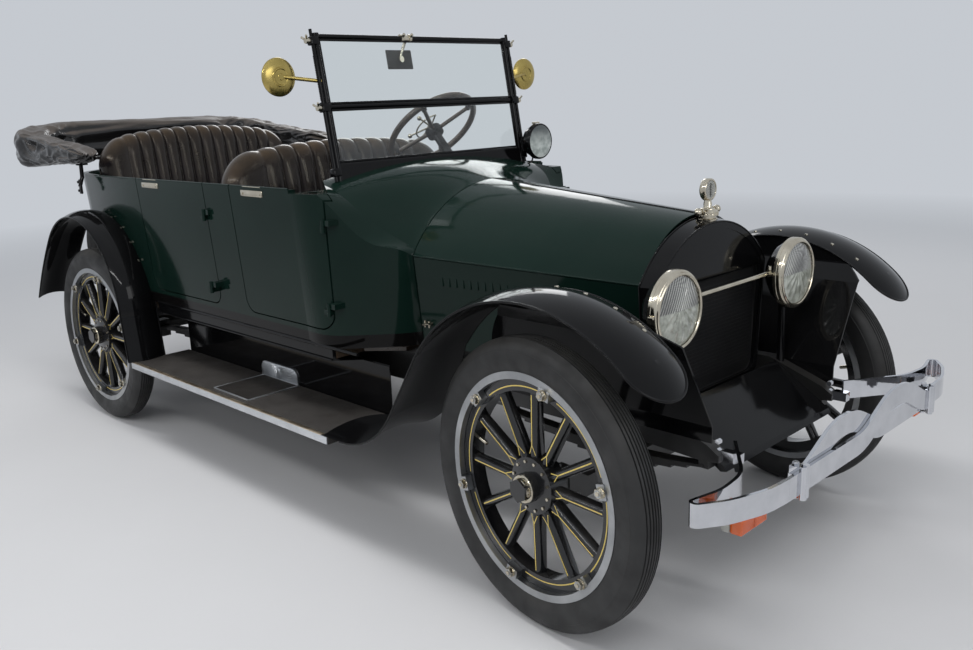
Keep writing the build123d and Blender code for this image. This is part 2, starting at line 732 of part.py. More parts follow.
def turn_lamps():
    # Each hangs by a short stem from the rear bar of a bumper end.
    lamps = []
    for side in (1, -1):
        x, y = bumper_x(side) + turn_lamp_set, side * turn_lamp_y
        low = bumper_z - bumper_tall / 2
        lamp = Pos(x + 20, y, low - 47) * Box(60, 130, 40)
        stem = rod((x, y, low - 30), (x, y, low - 0.5), 5)
        lamps.append(lamp + stem)
    return lamps


# Fenders and boards

def fender_face(half, crown, middle=(0, 0)):
    # The section of a fender, drawn with x across it and y towards its crown.
    inner = half - fender_sheet
    edges = [
        ThreePointArc((-half, 0), (0, crown), (half, 0)),
        Line((half, 0), (inner, -1)),
        ThreePointArc((inner, -1), (0, crown - fender_sheet), (-inner, -1)),
        Line((-inner, -1), (-half, 0)),
    ]
    return Pos(*middle) * make_face(edges)


def fender_strip(path, half, crown):
    plane = Plane(origin=path @ 0, x_dir=(0, 1, 0), z_dir=path % 0)
    return sweep(plane * fender_face(half, crown), path=path)


def front_fender(side):
    # A flat foot over the board's front end, a straight tail that narrows, an arch, and a round nose.
    y_wide = side * (board_inner_y + board_outer_y) / 2
    half_wide = (board_outer_y - board_inner_y) / 2
    y = side * (fender_outer_y - front_fender_width / 2)
    half = front_fender_width / 2
    crown = front_fender_crown
    arch = arc_about((at(wheelbase) + 15, 459), front_fender_radius, fender_arc_rear, fender_arc_front, y)
    start = arch @ 0
    tail_low = board_top + 1
    lap, bend = 30, 340
    slope = radians(-fender_arc_rear)
    run_z = start.Z - (tail_low + bend * (1 - cos(slope)))
    knee_x, knee_z = start.X - run_z / tan(slope), start.Z - run_z
    foot_middle = (knee_x - bend * sin(slope), knee_z + bend * cos(slope))

    def foot(turn):
        return (foot_middle[0] + bend * sin(turn), y_wide, foot_middle[1] - bend * cos(turn))
    flat = Line((at(board_front) - lap, y_wide, tail_low), foot(0))
    tail = ThreePointArc(foot(0), foot(slope / 2), foot(slope))
    low_path = Wire([flat, tail])
    knee = Plane(origin=foot(slope), x_dir=(0, 1, 0), z_dir=low_path % 1)
    shoulder = Plane(origin=start, x_dir=(0, 1, 0), z_dir=arch % 0)
    narrowing = loft([knee * fender_face(half_wide, crown), shoulder * fender_face(half, crown)])
    strip = fuse(fender_strip(low_path, half_wide, crown), narrowing, fender_strip(arch, half, crown))
    tip = Plane(origin=arch @ 1, x_dir=(0, 1, 0), z_dir=arch % 1)
    half_face = fender_face(half, crown) & (Pos(half, 0) * Rectangle(2 * half, 4 * crown))
    dome = revolve(tip * half_face, Axis(tip.origin, tip.y_dir), -180)
    return strip + dome


def rear_fender(side):
    y = side * (fender_outer_y - rear_fender_width / 2)
    middle = (rear_axle_x - 17, 590)
    radius, tail_radius, tail_turn = rear_fender_radius, 2000, 45
    front = arc_about(middle, radius, -tail_turn, 90, y)
    foot = Line(front @ 1, (rear_axle_x + 447, y, board_top + 1))
    turn = radians(tail_turn)
    tail_middle = (middle[0] + (tail_radius - radius) * sin(turn), middle[1] - (tail_radius - radius) * cos(turn))
    tail = arc_about(tail_middle, tail_radius, -tail_turn - 12.5, -tail_turn, y)
    return fender_strip(Wire([tail, front, foot]), rear_fender_width / 2, rear_fender_crown)


def running_board():
    board = block(at(board_rear), at(board_front), board_inner_y, board_outer_y, board_top - board_thickness, board_top)
    for ahead in (700, 1650):
        board += block(at(ahead) - 22, at(ahead) + 22, rail_outer_y + 10, board_inner_y + 120,
                       board_top - board_thickness - 30, board_top - board_thickness)
    return board


def step_mats():
    mat = block(at(1140), at(1410), board_inner_y + 12, board_outer_y - 35, board_top, board_top + 8)
    plate = block(at(1113), at(1386), board_inner_y, board_inner_y + 8, board_top, board_top + 66)
    return pair(mat + plate)


def side_apron():
    # The black valance from the body's bottom edge down to the running board.
    sill, inner = body_half_bottom - 7, body_half_bottom - 22
    foot = board_inner_y - 1
    sheet = 5
    points = [(sill, body_bottom), (sill, body_bottom - 48), (foot, body_bottom - 75), (foot, board_top - 4),
              (foot - sheet, board_top - 4), (foot - sheet, body_bottom - 70.5), (inner, body_bottom - 44.5),
              (inner, body_bottom)]
    upper = front_prism(points, at(board_rear) + 18, at(front_door_front) - 20)
    lower = front_prism(points[2:6], at(front_door_front) - 21, at(board_front))
    return upper + lower


def front_apron():
    # Plates from the front fenders' inner edges, slanting in to the frame rails.
    sheet = 5
    edge = fender_outer_y - front_fender_width + 3
    rail = rail_outer_y
    slant = front_prism([(rail, rail_top - 60), (rail, rail_top - 10), (rail + 152, 850), (edge, 905), (edge, 1000),
                         (edge + sheet, 1000), (edge + sheet, 903), (rail + 152 + sheet, 847), (rail + sheet, rail_top - 12),
                         (rail + sheet, rail_top - 60)], at(wheelbase - 521), at(horn_front) - 20)
    disc = rod((at(wheelbase) + 15, 300, 459), (at(wheelbase) + 15, 700, 459), front_fender_radius - 1)
    return slant & disc


def front_pan():
    x0, x1 = at(horn_front - 205), at(horn_front)
    half = rail_outer_y - rail_width
    return side_prism([(x0, 572), (x1 - 20, 440), (x1, 444), (x1 - 10, 458), (x0, 590)], -half, half)


# Windshield

glass_lean = 9.6
shield_half = 490.0
shield_foot_x = 1751.0
shield_foot_z = rail_height + 72
shield_height = 468.0
shield_middle = 214.0
tube = 11.0


def shield_place(shape):
    # Shapes are drawn upright at the origin, then leaned back and set on the cowl.
    return Pos(at(shield_foot_x), 0, shield_foot_z) * Rot(0, -glass_lean, 0) * shape


def windshield_frame():
    parts = None
    for side in (1, -1):
        post = rod((0, side * shield_half, -70), (0, side * shield_half, shield_height), tube)
        parts = post if parts is None else parts + post
    for z in (0, shield_middle, shield_height):
        parts += rod((0, -shield_half, z), (0, shield_half, z), tube - 2)
    for side in (1, -1):
        parts += rod((0, side * (shield_half - 10), shield_middle), (0, side * (shield_half + 26), shield_middle), 17)
        parts += rod((0, side * shield_half, shield_height - 4), (0, side * shield_half, shield_height + 10), 15)
    base = block(-9, 9, -shield_half, shield_half, -60, 0)
    cowl_under = cowl_solid(0, body_bottom, 0)
    return shield_place(parts + base) - cowl_under


def windshield_glass():
    panes = []
    for z0, z1 in ((0, shield_middle), (shield_middle, shield_height)):
        inset = tube - 2
        panes.append(shield_place(block(-3, 3, -shield_half + tube, shield_half - tube, z0 + inset, z1 - inset)))
    return panes


def side_mirrors():
    mirrors = []
    for side in (1, -1):
        x, y, z = at(1652), side * 643, 1608
        disc = turned([(-14, 0), (-14, 30), (-4, 62), (2, 66), (6, 64), (6, 0)], (x, y, z), (-1, 0, 0))
        arm = rod((x + 10, y - side * 10, z), (at(1702), side * (shield_half + 8), 1590), 7)
        mirrors.append(disc + arm - windshield_frame())
    return mirrors


# Steering wheel and column

steering_tilt = 43.7
steering_x = 1360.0
steering_y = 335.0
steering_z = 1380.0
steering_radius = 228.0
steering_rim = 14.0


def steering_place(shape):
    # Shapes are drawn about a vertical shaft at the origin, then leaned to the column.
    return Pos(at(steering_x), steering_y, steering_z) * Rot(0, -steering_tilt, 0) * shape


def steering_wheel():
    wheel_shape = Torus(steering_radius - steering_rim, steering_rim)
    hub = Pos(0, 0, -14) * Cylinder(38, 36)
    wheel_shape += hub
    for number in range(4):
        spoke = rod((20, 0, -10), (steering_radius - steering_rim, 0, 0), 9)
        wheel_shape += Rot(0, 0, 45 + 90 * number) * spoke
    return steering_place(wheel_shape)


def steering_column():
    post = extrude(Plane.XY.offset(-32.4) * Circle(20), amount=-940)
    return steering_place(post) + block(at(1985), at(2036), 300, 354.8, 540, 700)


# Seats

def seat_outline(half, low, edge, crown):
    return make_face([Line((-half, low), (half, low)), Line((half, low), (half, edge)),
                      ThreePointArc((half, edge), (0, crown), (-half, edge)), Line((-half, edge), (-half, low))])


def front_seat():
    cushion = block(at(1175), at(1600), -590, 590, 850, 980)
    cushion = fillet(cushion.edges().filter_by(Axis.Y), 30)
    back = extrude(Plane.YZ.offset(0) * seat_outline(612, -444, 0, 50), amount=110)
    back = Pos(at(1010), 0, 1290) * Rot(0, -8, 0) * back
    base = block(at(1050), at(1590), -560, 560, rail_top + 15, 849.7)
    return cushion, back, base


def rear_seat():
    cushion = block(at(-105), at(330), -560, 560, 850, 980)
    cushion = fillet(cushion.edges().filter_by(Axis.Y), 30)
    outline = seat_outline(560, -504, 0, 62)
    back = extrude(Plane.YZ.offset(0) * outline, amount=120)
    back = Pos(at(-290), 0, 1350) * Rot(0, -8, 0) * back
    base = block(at(-230), at(320), -520, 520, rail_top + 15, 849.7)
    return cushion, back, base


def floor_boards():
    # Boards on the frame rails, with a wood sill under each body side.
    half = body_half_bottom - 22
    plan = [(at(-420), 430), (at(-180), 560), (at(450), half), (at(1850), half), (at(1850), 500), (at(1975), 400)]
    outline = plan + [(x, -y) for x, y in reversed(plan)]
    boards = extrude(Plane.XY.offset(rail_top) * make_face(Polyline(*outline, close=True)), amount=15)
    for side in (1, -1):
        y0, y1 = sorted((side * (half - 40), side * half))
        boards += block(at(460), at(1850), y0, y1, rail_top + 15, body_bottom)
    return boards


def folded_top():
    # A bundle that runs round the back of the body and forward along both sides.
    outer_y, inner_y, corner_x, back_x = 765, 640, -600, -tail_reach
    arm_x = 60
    plan = make_face([
        Line((at(arm_x), outer_y), (at(corner_x), outer_y)),
        ThreePointArc((at(corner_x), outer_y), (at(-868), 655), (at(back_x), 400)),
        Line((at(back_x), 400), (at(back_x), -400)),
        ThreePointArc((at(back_x), -400), (at(-868), -655), (at(corner_x), -outer_y)),
        Line((at(corner_x), -outer_y), (at(arm_x), -outer_y)),
        Line((at(arm_x), -outer_y), (at(arm_x), -inner_y)),
        Line((at(arm_x), -inner_y), (at(-520), -inner_y)),
        ThreePointArc((at(-520), -inner_y), (at(-650), -585), (at(-700), -460)),
        Line((at(-700), -460), (at(-700), 460)),
        ThreePointArc((at(-700), 460), (at(-650), 585), (at(-520), inner_y)),
        Line((at(-520), inner_y), (at(arm_x), inner_y)),
        Line((at(arm_x), inner_y), (at(arm_x), outer_y)),
    ])
    tall = extrude(Plane.XY.offset(rail_height) * plan, amount=320)
    rail = rail_height
    band = side_prism([(at(-50), rail + 58), (at(arm_x), rail + 132), (at(-600), rail + 212), (at(-850), rail + 265),
                       (at(-1010), rail + 235), (at(-1010), rail + 38), (at(-700), rail + 27), (at(-300), rail + 46)],
                      -800, 800)
    return tall & band


def top_irons():
    # Brackets on the body sides under the arms of the folded top.
    body = tub_solid(0, body_bottom, rail_height)
    post = block(at(-140), at(-100), 600, 704, rail_height - 95, rail_height + 58)
    return pair(post - body - folded_top())


def spare():
    x = at(-796)
    z = 770
    turn = Pos(x, 0, z) * Rot(0, 0, 90)
    carrier = rod((x - 20, 0, z), (at(-715), 0, z), 46)
    for angle in (90, 210, 330):
        a = radians(angle)
        tip = bead_radius - 12
        carrier += rod((x, 0, z), (x, tip * cos(a), z + tip * sin(a)), 14)
    carrier += block(at(-735), at(-712), -30, 30, 560, z)
    carrier += block(at(-735), at(-712), -455, 455, 560, 595)
    for side in (1, -1):
        y0, y1 = sorted((side * 425, side * 455))
        carrier += block(at(-735), at(rail_rear), y0, y1, 562, 595)
    return turn * tyre(), turn * rim(), carrier - turn * rim()


# Bumper

bumper_tall = 62.0
bumper_thick = 10.0
bumper_z = 524.0
clamp_y = 428.0
turn_lamp_y = 565.0
turn_lamp_set = -101.0


def bumper_x(side):
    # The middle of each bar's thickness: the right bar runs in front of the left one.
    return at(nose_reach) - 8 - bumper_thick / 2 - (bumper_thick + 1 if side > 0 else 0)


def bumper_bar(side):
    # One bar: low on its own side and humped on the other, with an end that turns back to the frame horn.
    x, z, join = bumper_x(side), bumper_z, 500
    hump = FilletPolyline(*[(x, side * y, z + rise) for y, rise in
                            ((join, 0), (60, 0), (-110, 77), (-230, 77), (-390, 0), (-470, 0))],
                          radius=(220, 220, 220, 180))
    end = FilletPolyline(*[(x + back, side * y, z) for back, y in
                           ((0, join), (-5, 590), (-45, 705), (-128, 830), (-91, 660), (-104, 540), (-235, 352))],
                         radius=(300, 200, 14, 200, 200))
    bar = None
    for path in (hump, end):
        plane = Plane(origin=path @ 0, x_dir=(1, 0, 0), z_dir=path % 0)
        piece = sweep(plane * Rectangle(bumper_thick, bumper_tall), path=path)
        bar = piece if bar is None else bar + piece
    y0, y1 = sorted((side * (rail_outer_y - 40), side * (rail_outer_y - 12)))
    return bar + block(at(horn_front), x - 215, y0, y1, z - 36, z - 6)


def bumper():
    shape = bumper_bar(-1) + bumper_bar(1)
    front = at(nose_reach)
    for y in (-clamp_y, clamp_y):
        shape += block(front - 40, front, y - 16, y + 16, bumper_z - 42, bumper_z + 42)
    return shape


def body_nodes():
    # The hollow body, split into tub, cowl and four doors.
    tub = body_shell()
    cowl = cowl_solid(0, body_bottom, 0) - cowl_solid(wall, body_bottom - 5, 12)
    cowl = cowl - cockpit_corner(1) - cockpit_corner(-1)
    nodes = {}
    for rear, front, word in ((front_door_rear, front_door_front, "front"), (rear_door_rear, rear_door_front, "rear")):
        for side, hand in ((-1, "right"), (1, "left")):
            y0, y1 = (400, 800) if side > 0 else (-800, -400)
            hole = door_prism(rear, front, door_gap, y0, y1)
            leaf = door_prism(rear, front, 0, y0, y1)
            door = tub & leaf
            if front > cowl_rear:
                door = door + (cowl & door_prism(rear, front, 0, *sorted((side * door_inner_y, side * 800))))
                cowl = cowl - door_prism(rear, front, door_gap, *sorted((side * (door_inner_y - door_gap), side * 800)))
            tub = tub - hole
            for z in hinge_heights:
                barrel = door_barrels(front, z, True)
                door = door + (barrel if side > 0 else mirror(barrel, about=Plane.XZ))
            nodes[f"door_{word}_{hand}"] = door
    for rear, front, word in ((front_door_rear, front_door_front, "front"), (rear_door_rear, rear_door_front, "rear")):
        for side in (1, -1):
            for z in hinge_heights:
                barrel = door_barrels(front, z, False)
                barrel = barrel if side > 0 else mirror(barrel, about=Plane.XZ)
                if front > cowl_rear:
                    cowl = cowl + barrel
                else:
                    tub = tub + barrel
    nodes["body_tub"] = tub
    nodes["cowl"] = cowl
    return nodes


def firewall():
    inner = cowl_solid(wall + 0.3, body_bottom + 1, 12)
    wall_board = inner & block(at(hood_rear) - 30, at(hood_rear) - 12, -600, 600, 600, 1300)
    dash_x, low, top = at(cowl_rear) + 15, rail_height - 105, rail_height - door_top_drop + 8
    dash_board = inner & block(dash_x, dash_x + 20, -700, 700, low, rail_height + 85)
    for side in (1, -1):
        y0, y1 = sorted((side * (door_inner_y - 7), side * (body_half_bottom + 150)))
        dash_board -= block(dash_x - 5, dash_x + 25, y0, y1, low - 10, top)
    return [wall_board - steering_column(), dash_board - steering_column()]


def write(name, shape):
    found = []
    for item in (shape if isinstance(shape, (list, tuple)) else [shape]):
        found.extend(item.solids())
    export_step(Compound(children=found) if len(found) > 1 else found[0], f"parts/{name}.step")


def main():
    os.makedirs("parts", exist_ok=True)
    front_x = at(wheelbase)
    body = tub_solid(0, body_bottom, rail_height)
    for side, hand in ((-1, "right"), (1, "left")):
        y = side * half_track
        write(f"wheel_front_{hand}", steered(placed(wheel(side, False), front_x, y), side))
        write(f"tyre_front_{hand}", steered(placed(tyre(), front_x, y), side))
        write(f"wheel_rear_{hand}", placed(wheel(side, True), rear_axle_x, y))
        write(f"tyre_rear_{hand}", placed(tyre(), rear_axle_x, y))
        write(f"knuckle_{hand}", knuckle(side))
        write(f"hood_top_{hand}", hood_top(side))
        write(f"hood_side_{hand}", hood_side(side))
    write("tie_rod", tie_rod())
    write("chassis_frame", chassis_frame())
    write("front_axle", front_axle())
    write("leaf_springs", pair(front_spring()) + pair(rear_spring()))
    write("rear_axle", rear_axle())
    write("engine_block", engine_block())
    write("transmission", transmission())
    write("exhaust", exhaust())
    write("fuel_tank", fuel_tank())
    for name, shape in body_nodes().items():
        write(name, shape)
    write("dash_and_firewall", firewall())
    write("floor_boards", floor_boards())
    cushion, back, base = front_seat()
    write("front_seat", [cushion, back])
    rear_cushion, rear_back, rear_base = rear_seat()
    write("rear_seat", [rear_cushion, rear_back])
    write("seat_boxes", [base, rear_base])
    write("radiator_shell", [radiator_shell(), hood_hinge()])
    write("radiator_core", radiator_core())
    write("radiator_cap", radiator_cap())
    write("front_fenders", [front_fender(1), front_fender(-1)])
    write("rear_fenders", [rear_fender(1) - body, rear_fender(-1) - body])
    write("running_boards", pair(running_board()))
    write("step_mats", step_mats())
    write("splash_aprons", pair(side_apron()) + pair(front_apron()) + [front_pan()])
    write("headlamps", headlamps())
    write("headlamp_lenses", headlamp_lenses())
    write("spot_lamp", spot_lamp())
    write("spot_lamp_wire", spot_lamp_wire())
    write("tail_lamp", tail_lamp())
    write("driver_controls", driver_controls())
    write("turn_lamps", turn_lamps())
    write("windshield_frame", windshield_frame())
    write("windshield_glass", windshield_glass())
    write("side_mirrors", side_mirrors())
    write("steering_wheel", steering_wheel())
    write("steering_column", steering_column())
    write("folded_top", folded_top())
    write("top_irons", top_irons())
    tyre_shape, ring, carrier = spare()
    write("spare_tyre", tyre_shape)
    write("spare_rim", ring)
    write("spare_carrier", carrier)
    write("front_bumper", bumper())


main()
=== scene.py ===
import bpy
import bmesh
import json
from math import asin, atan2, copysign, cos, pi, radians, sin, sqrt, tan
from mathutils import Matrix, Vector, noise


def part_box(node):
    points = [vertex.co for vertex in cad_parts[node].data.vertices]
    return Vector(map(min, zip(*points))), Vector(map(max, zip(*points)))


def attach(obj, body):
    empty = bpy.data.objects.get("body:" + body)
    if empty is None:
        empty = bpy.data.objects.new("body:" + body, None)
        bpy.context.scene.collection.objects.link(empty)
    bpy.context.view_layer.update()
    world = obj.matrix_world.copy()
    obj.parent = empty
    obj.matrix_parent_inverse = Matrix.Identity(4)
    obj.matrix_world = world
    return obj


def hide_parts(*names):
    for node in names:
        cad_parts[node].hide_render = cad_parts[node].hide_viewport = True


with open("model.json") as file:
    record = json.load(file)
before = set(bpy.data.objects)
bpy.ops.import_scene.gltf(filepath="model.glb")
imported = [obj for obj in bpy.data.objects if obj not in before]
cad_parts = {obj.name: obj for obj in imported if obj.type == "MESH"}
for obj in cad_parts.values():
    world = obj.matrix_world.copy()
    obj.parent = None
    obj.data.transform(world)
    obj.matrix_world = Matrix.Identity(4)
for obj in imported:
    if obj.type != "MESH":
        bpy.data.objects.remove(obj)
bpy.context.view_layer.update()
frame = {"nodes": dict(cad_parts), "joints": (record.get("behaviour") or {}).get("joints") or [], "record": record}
nodes = frame["nodes"]
bothSides = ((-1, "right"), (1, "left"))
print("frame loaded:", len(nodes), "CAD nodes")


# Small helpers

def newObject(name, data):
    obj = bpy.data.objects.new(name, data)
    bpy.context.scene.collection.objects.link(obj)
    return obj


def finishMesh(name, bm, material, smoothAngle, body="root", slot=None, replaces=None):
    # closes a bmesh into a piece that rides on a body, and hides the part that it replaces
    mesh = bpy.data.meshes.new(name)
    bm.to_mesh(mesh)
    bm.free()
    mesh.materials.append(material)
    obj = newObject(name, mesh)
    if smoothAngle:
        mesh.shade_smooth()
        mesh.set_sharp_from_angle(angle=radians(smoothAngle))
    return ridePiece(obj, material, body, slot, replaces)


def ridePiece(obj, material, body, slot=None, replaces=None):
    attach(obj, body)
    slot = slot or dressSlots.get(material.name)
    if replaces:
        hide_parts(replaces)
    return obj


# Shader groups

def feed(tree, node, values):
    # links sockets to their inputs, and writes numbers, colours and points into them
    for key, value in values.items():
        if isinstance(value, bpy.types.NodeSocket):
            tree.links.new(value, node.inputs[key])
        elif isinstance(value, (tuple, list)) and len(node.inputs[key].default_value) == 4:
            node.inputs[key].default_value = (*value, 1.0)
        else:
            node.inputs[key].default_value = value
    return node


def addNode(tree, kind, values=None, **settings):
    node = tree.nodes.new(kind)
    for key, value in settings.items():
        setattr(node, key, value)
    return feed(tree, node, values or {})


def mathNode(tree, operation, a, b=None, clamp=False):
    values = {0: a} if b is None else {0: a, 1: b}
    return addNode(tree, "ShaderNodeMath", values, operation=operation, use_clamp=clamp).outputs[0]


def objectCoords(tree):
    return addNode(tree, "ShaderNodeTexCoord").outputs["Object"]


def splitAxes(tree, vector):
    return addNode(tree, "ShaderNodeSeparateXYZ", {0: vector}).outputs


def facingUp(tree, low, high):
    # how far a face looks up, from 0 at low to 1 at high
    normal = addNode(tree, "ShaderNodeNewGeometry").outputs["Normal"]
    return ramp(tree, splitAxes(tree, normal)["Z"], low, high)


def noiseFac(tree, vector, scale, detail=4.0, rough=0.55):
    values = {"Vector": vector, "Scale": scale, "Detail": detail, "Roughness": rough}
    return addNode(tree, "ShaderNodeTexNoise", values).outputs["Fac"]


def ramp(tree, fac, low, high):
    return addNode(tree, "ShaderNodeMapRange", {"Value": fac, "From Min": low, "From Max": high}).outputs["Result"]


def startGroup(name, inputs, outputs):
    tree = bpy.data.node_groups.new(name, "ShaderNodeTree")
    for label, value in inputs.items():
        tree.interface.new_socket(label, in_out="INPUT", socket_type="NodeSocketFloat").default_value = value
    for label in outputs:
        tree.interface.new_socket(label, in_out="OUTPUT", socket_type="NodeSocketFloat")
    return tree, tree.nodes.new("NodeGroupInput"), tree.nodes.new("NodeGroupOutput")


def makeDustGroup():
    # dust that settles on upward faces and in broad patches
    tree, start, end = startGroup("settledDust", {"Amount": 0.1, "Scale": 6.0}, ["Mask"])
    broad = noiseFac(tree, objectCoords(tree), start.outputs["Scale"], 6.0, 0.5)
    mask = mathNode(tree, "MULTIPLY", facingUp(tree, 0.1, 1.0), ramp(tree, broad, 0.35, 0.75))
    feed(tree, end, {"Mask": mathNode(tree, "MULTIPLY", mask, start.outputs["Amount"], True)})
    return tree


def makeGrainGroup():
    # a fine uneven mask for roughness and small bumps
    tree, start, end = startGroup("surfaceGrain", {"Scale": 40.0, "Low": 0.0, "High": 1.0}, ["Value", "Height"])
    fine = noiseFac(tree, objectCoords(tree), start.outputs["Scale"], 8.0, 0.5)
    spread = addNode(tree, "ShaderNodeMapRange", {"Value": fine, "From Min": 0.3, "From Max": 0.7,
                                                  "To Min": start.outputs["Low"], "To Max": start.outputs["High"]})
    feed(tree, end, {"Value": spread.outputs["Result"], "Height": fine})
    return tree


dustGroup = makeDustGroup()
grainGroup = makeGrainGroup()
dustColor = (0.32, 0.30, 0.27)


def dustMask(tree, amount, scale):
    return addNode(tree, "ShaderNodeGroup", {"Amount": amount, "Scale": scale}, node_tree=dustGroup).outputs["Mask"]


def grain(tree, scale, low=0.0, high=1.0):
    values = {"Scale": scale, "Low": low, "High": high}
    return addNode(tree, "ShaderNodeGroup", values, node_tree=grainGroup).outputs


def startMaterial(name):
    material = bpy.data.materials.new(name)
    material.use_nodes = True
    tree = material.node_tree
    tree.nodes.clear()
    shader = addNode(tree, "ShaderNodeBsdfPrincipled")
    addNode(tree, "ShaderNodeOutputMaterial", {0: shader.outputs[0]})
    return material, tree, shader


def mixColor(tree, fac, a, b):
    return addNode(tree, "ShaderNodeMix", {0: fac, 6: a, 7: b}, data_type="RGBA").outputs[2]


def bumpOf(tree, height, strength, distance):
    values = {"Strength": strength, "Distance": distance, "Height": height}
    return addNode(tree, "ShaderNodeBump", values).outputs[0]


def paintMaterial(name, color, second, rough=0.16, coat=0.6, dust=0.05, peel=(90.0, 0.02), shine=0.5):
    # gloss enamel over metal or wood: a little orange peel, uneven polish and settled dust
    material, tree, shader = startMaterial(name)
    tone = ramp(tree, noiseFac(tree, objectCoords(tree), 3.0), 0.3, 0.7)
    base = mixColor(tree, tone, color, second)
    feed(tree, shader, {
        "Base Color": mixColor(tree, dustMask(tree, dust, 5.0), base, dustColor),
        "Roughness": grain(tree, 14.0, rough * 0.8, rough * 1.4)["Value"],
        "Specular IOR Level": shine, "Coat Weight": coat, "Coat Roughness": 0.05,
        "Normal": bumpOf(tree, grain(tree, peel[0])["Height"], peel[1], 0.002)})
    return material


def metalMaterial(name, color, second, rough):
    # bare or plated metal with smudges and fine scratches
    material, tree, shader = startMaterial(name)
    tone = ramp(tree, noiseFac(tree, objectCoords(tree), 16.0, 6.0), 0.35, 0.75)
    feed(tree, shader, {
        "Base Color": mixColor(tree, tone, color, second), "Metallic": 1.0,
        "Roughness": grain(tree, 30.0, rough, rough * 1.6)["Value"],
        "Normal": bumpOf(tree, grain(tree, 260.0)["Height"], 0.03, 0.001)})
    return material


def paintSill(material, height=0.688, below=(0.0040, 0.0036, 0.0036)):
    # black enamel below a level line, over the material's own colour
    tree = material.node_tree
    shader = tree.nodes["Principled BSDF"]
    source = shader.inputs["Base Color"].links[0].from_socket
    line = ramp(tree, splitAxes(tree, objectCoords(tree))["Z"], height, height + 0.002)
    feed(tree, shader, {"Base Color": mixColor(tree, line, below, source)})
    return material


def bodyPaint(name):
    return paintMaterial(name, (0.0044, 0.0142, 0.0108), (0.0062, 0.0180, 0.0136), 0.10, 0.16, 0.01, shine=0.08)


# colour, second colour, roughness, coat and dust of each paint
greenPaint = bodyPaint("greenPaint")
bodyGreen = paintSill(bodyPaint("bodyGreen"))
blackPaint = paintMaterial("blackPaint", (0.0030, 0.0030, 0.0034), (0.0050, 0.0050, 0.0055), 0.08, 0.20, 0.01,
                           shine=0.10)
frameBlack = paintMaterial("frameBlack", (0.008, 0.008, 0.008), (0.014, 0.0135, 0.013), 0.36, 0.1, 0.10)
castIron = paintMaterial("castIron", (0.03, 0.03, 0.03), (0.06, 0.055, 0.05), 0.6, 0.0, 0.5, (120, 0.3))
tyreRubber = paintMaterial("tyreRubber", (0.012, 0.012, 0.012), (0.020, 0.020, 0.020), 0.55, 0.0, 0.25, (300, 0.12))
matRubber = paintMaterial("matRubber", (0.022, 0.0195, 0.0175), (0.030, 0.026, 0.023), 0.68, 0.0, 0.06, (400, 0.3))
darkWood = paintMaterial("darkWood", (0.035, 0.022, 0.014), (0.060, 0.038, 0.022), 0.3, 0.3, 0.1)
finBlack = paintMaterial("finBlack", (0.010, 0.010, 0.011), (0.018, 0.018, 0.018), 0.35, 0.1, 0.06)
lineYellow = paintMaterial("lineYellow", (0.80, 0.62, 0.16), (0.70, 0.52, 0.12), 0.3, 0.3, 0.0)
amberLens = paintMaterial("amberLens", (0.80, 0.16, 0.02), (0.70, 0.12, 0.02), 0.15, 0.5, 0.0)
redLens = paintMaterial("redLens", (0.35, 0.008, 0.006), (0.28, 0.006, 0.005), 0.12, 0.6, 0.0)
dialCream = paintMaterial("dialCream", (0.42, 0.42, 0.38), (0.34, 0.34, 0.31), 0.35, 0.4, 0.02)
paleCase = paintMaterial("paleCase", (0.46, 0.46, 0.42), (0.38, 0.38, 0.35), 0.4, 0.2, 0.1)
# colour, second colour and roughness of each metal
chromePlate = metalMaterial("chromePlate", (0.66, 0.67, 0.70), (0.55, 0.56, 0.59), 0.04)
nickelPlate = metalMaterial("nickelPlate", (0.64, 0.59, 0.48), (0.48, 0.43, 0.34), 0.14)
brassPolish = metalMaterial("brassPolish", (0.52, 0.40, 0.13), (0.38, 0.29, 0.09), 0.20)
rimSteel = metalMaterial("rimSteel", (0.36, 0.36, 0.355), (0.20, 0.20, 0.20), 0.24)
silverMirror = metalMaterial("silverMirror", (0.92, 0.92, 0.90), (0.86, 0.86, 0.84), 0.10)
aluminium = metalMaterial("aluminium", (0.72, 0.74, 0.76), (0.58, 0.60, 0.62), 0.28)
warmEdge = metalMaterial("warmEdge", (0.78, 0.66, 0.50), (0.62, 0.50, 0.36), 0.30)


def makeLeather():
    # old pleated leather with a fine pebbled grain: a painted bronze sheen where it faces up and painted lilac grey
    # shade below
    material, tree, shader = startMaterial("seatLeather")
    coords = objectCoords(tree)
    worn = ramp(tree, noiseFac(tree, coords, 7.0, 6.0), 0.35, 0.70)
    # dark is the painted lilac grey shade of faces that look down, bronze the painted sheen of faces that look up
    dark = mixColor(tree, worn, (0.0085, 0.0072, 0.0085), (0.017, 0.0145, 0.0170))
    bronze = mixColor(tree, worn, (0.024, 0.0150, 0.0075), (0.058, 0.036, 0.016))
    pebble = addNode(tree, "ShaderNodeTexVoronoi", {"Scale": 420.0, "Vector": coords}).outputs["Distance"]
    feed(tree, shader, {
        "Base Color": mixColor(tree, facingUp(tree, 0.15, 0.95), dark, bronze),
        "Roughness": grain(tree, 18.0, 0.14, 0.24)["Value"], "Specular Tint": (1.0, 0.85, 0.64),
        "Specular IOR Level": 0.30, "Coat Weight": 0.15, "Coat Roughness": 0.07,
        "Normal": bumpOf(tree, pebble, 0.16, 0.0012)})
    return material


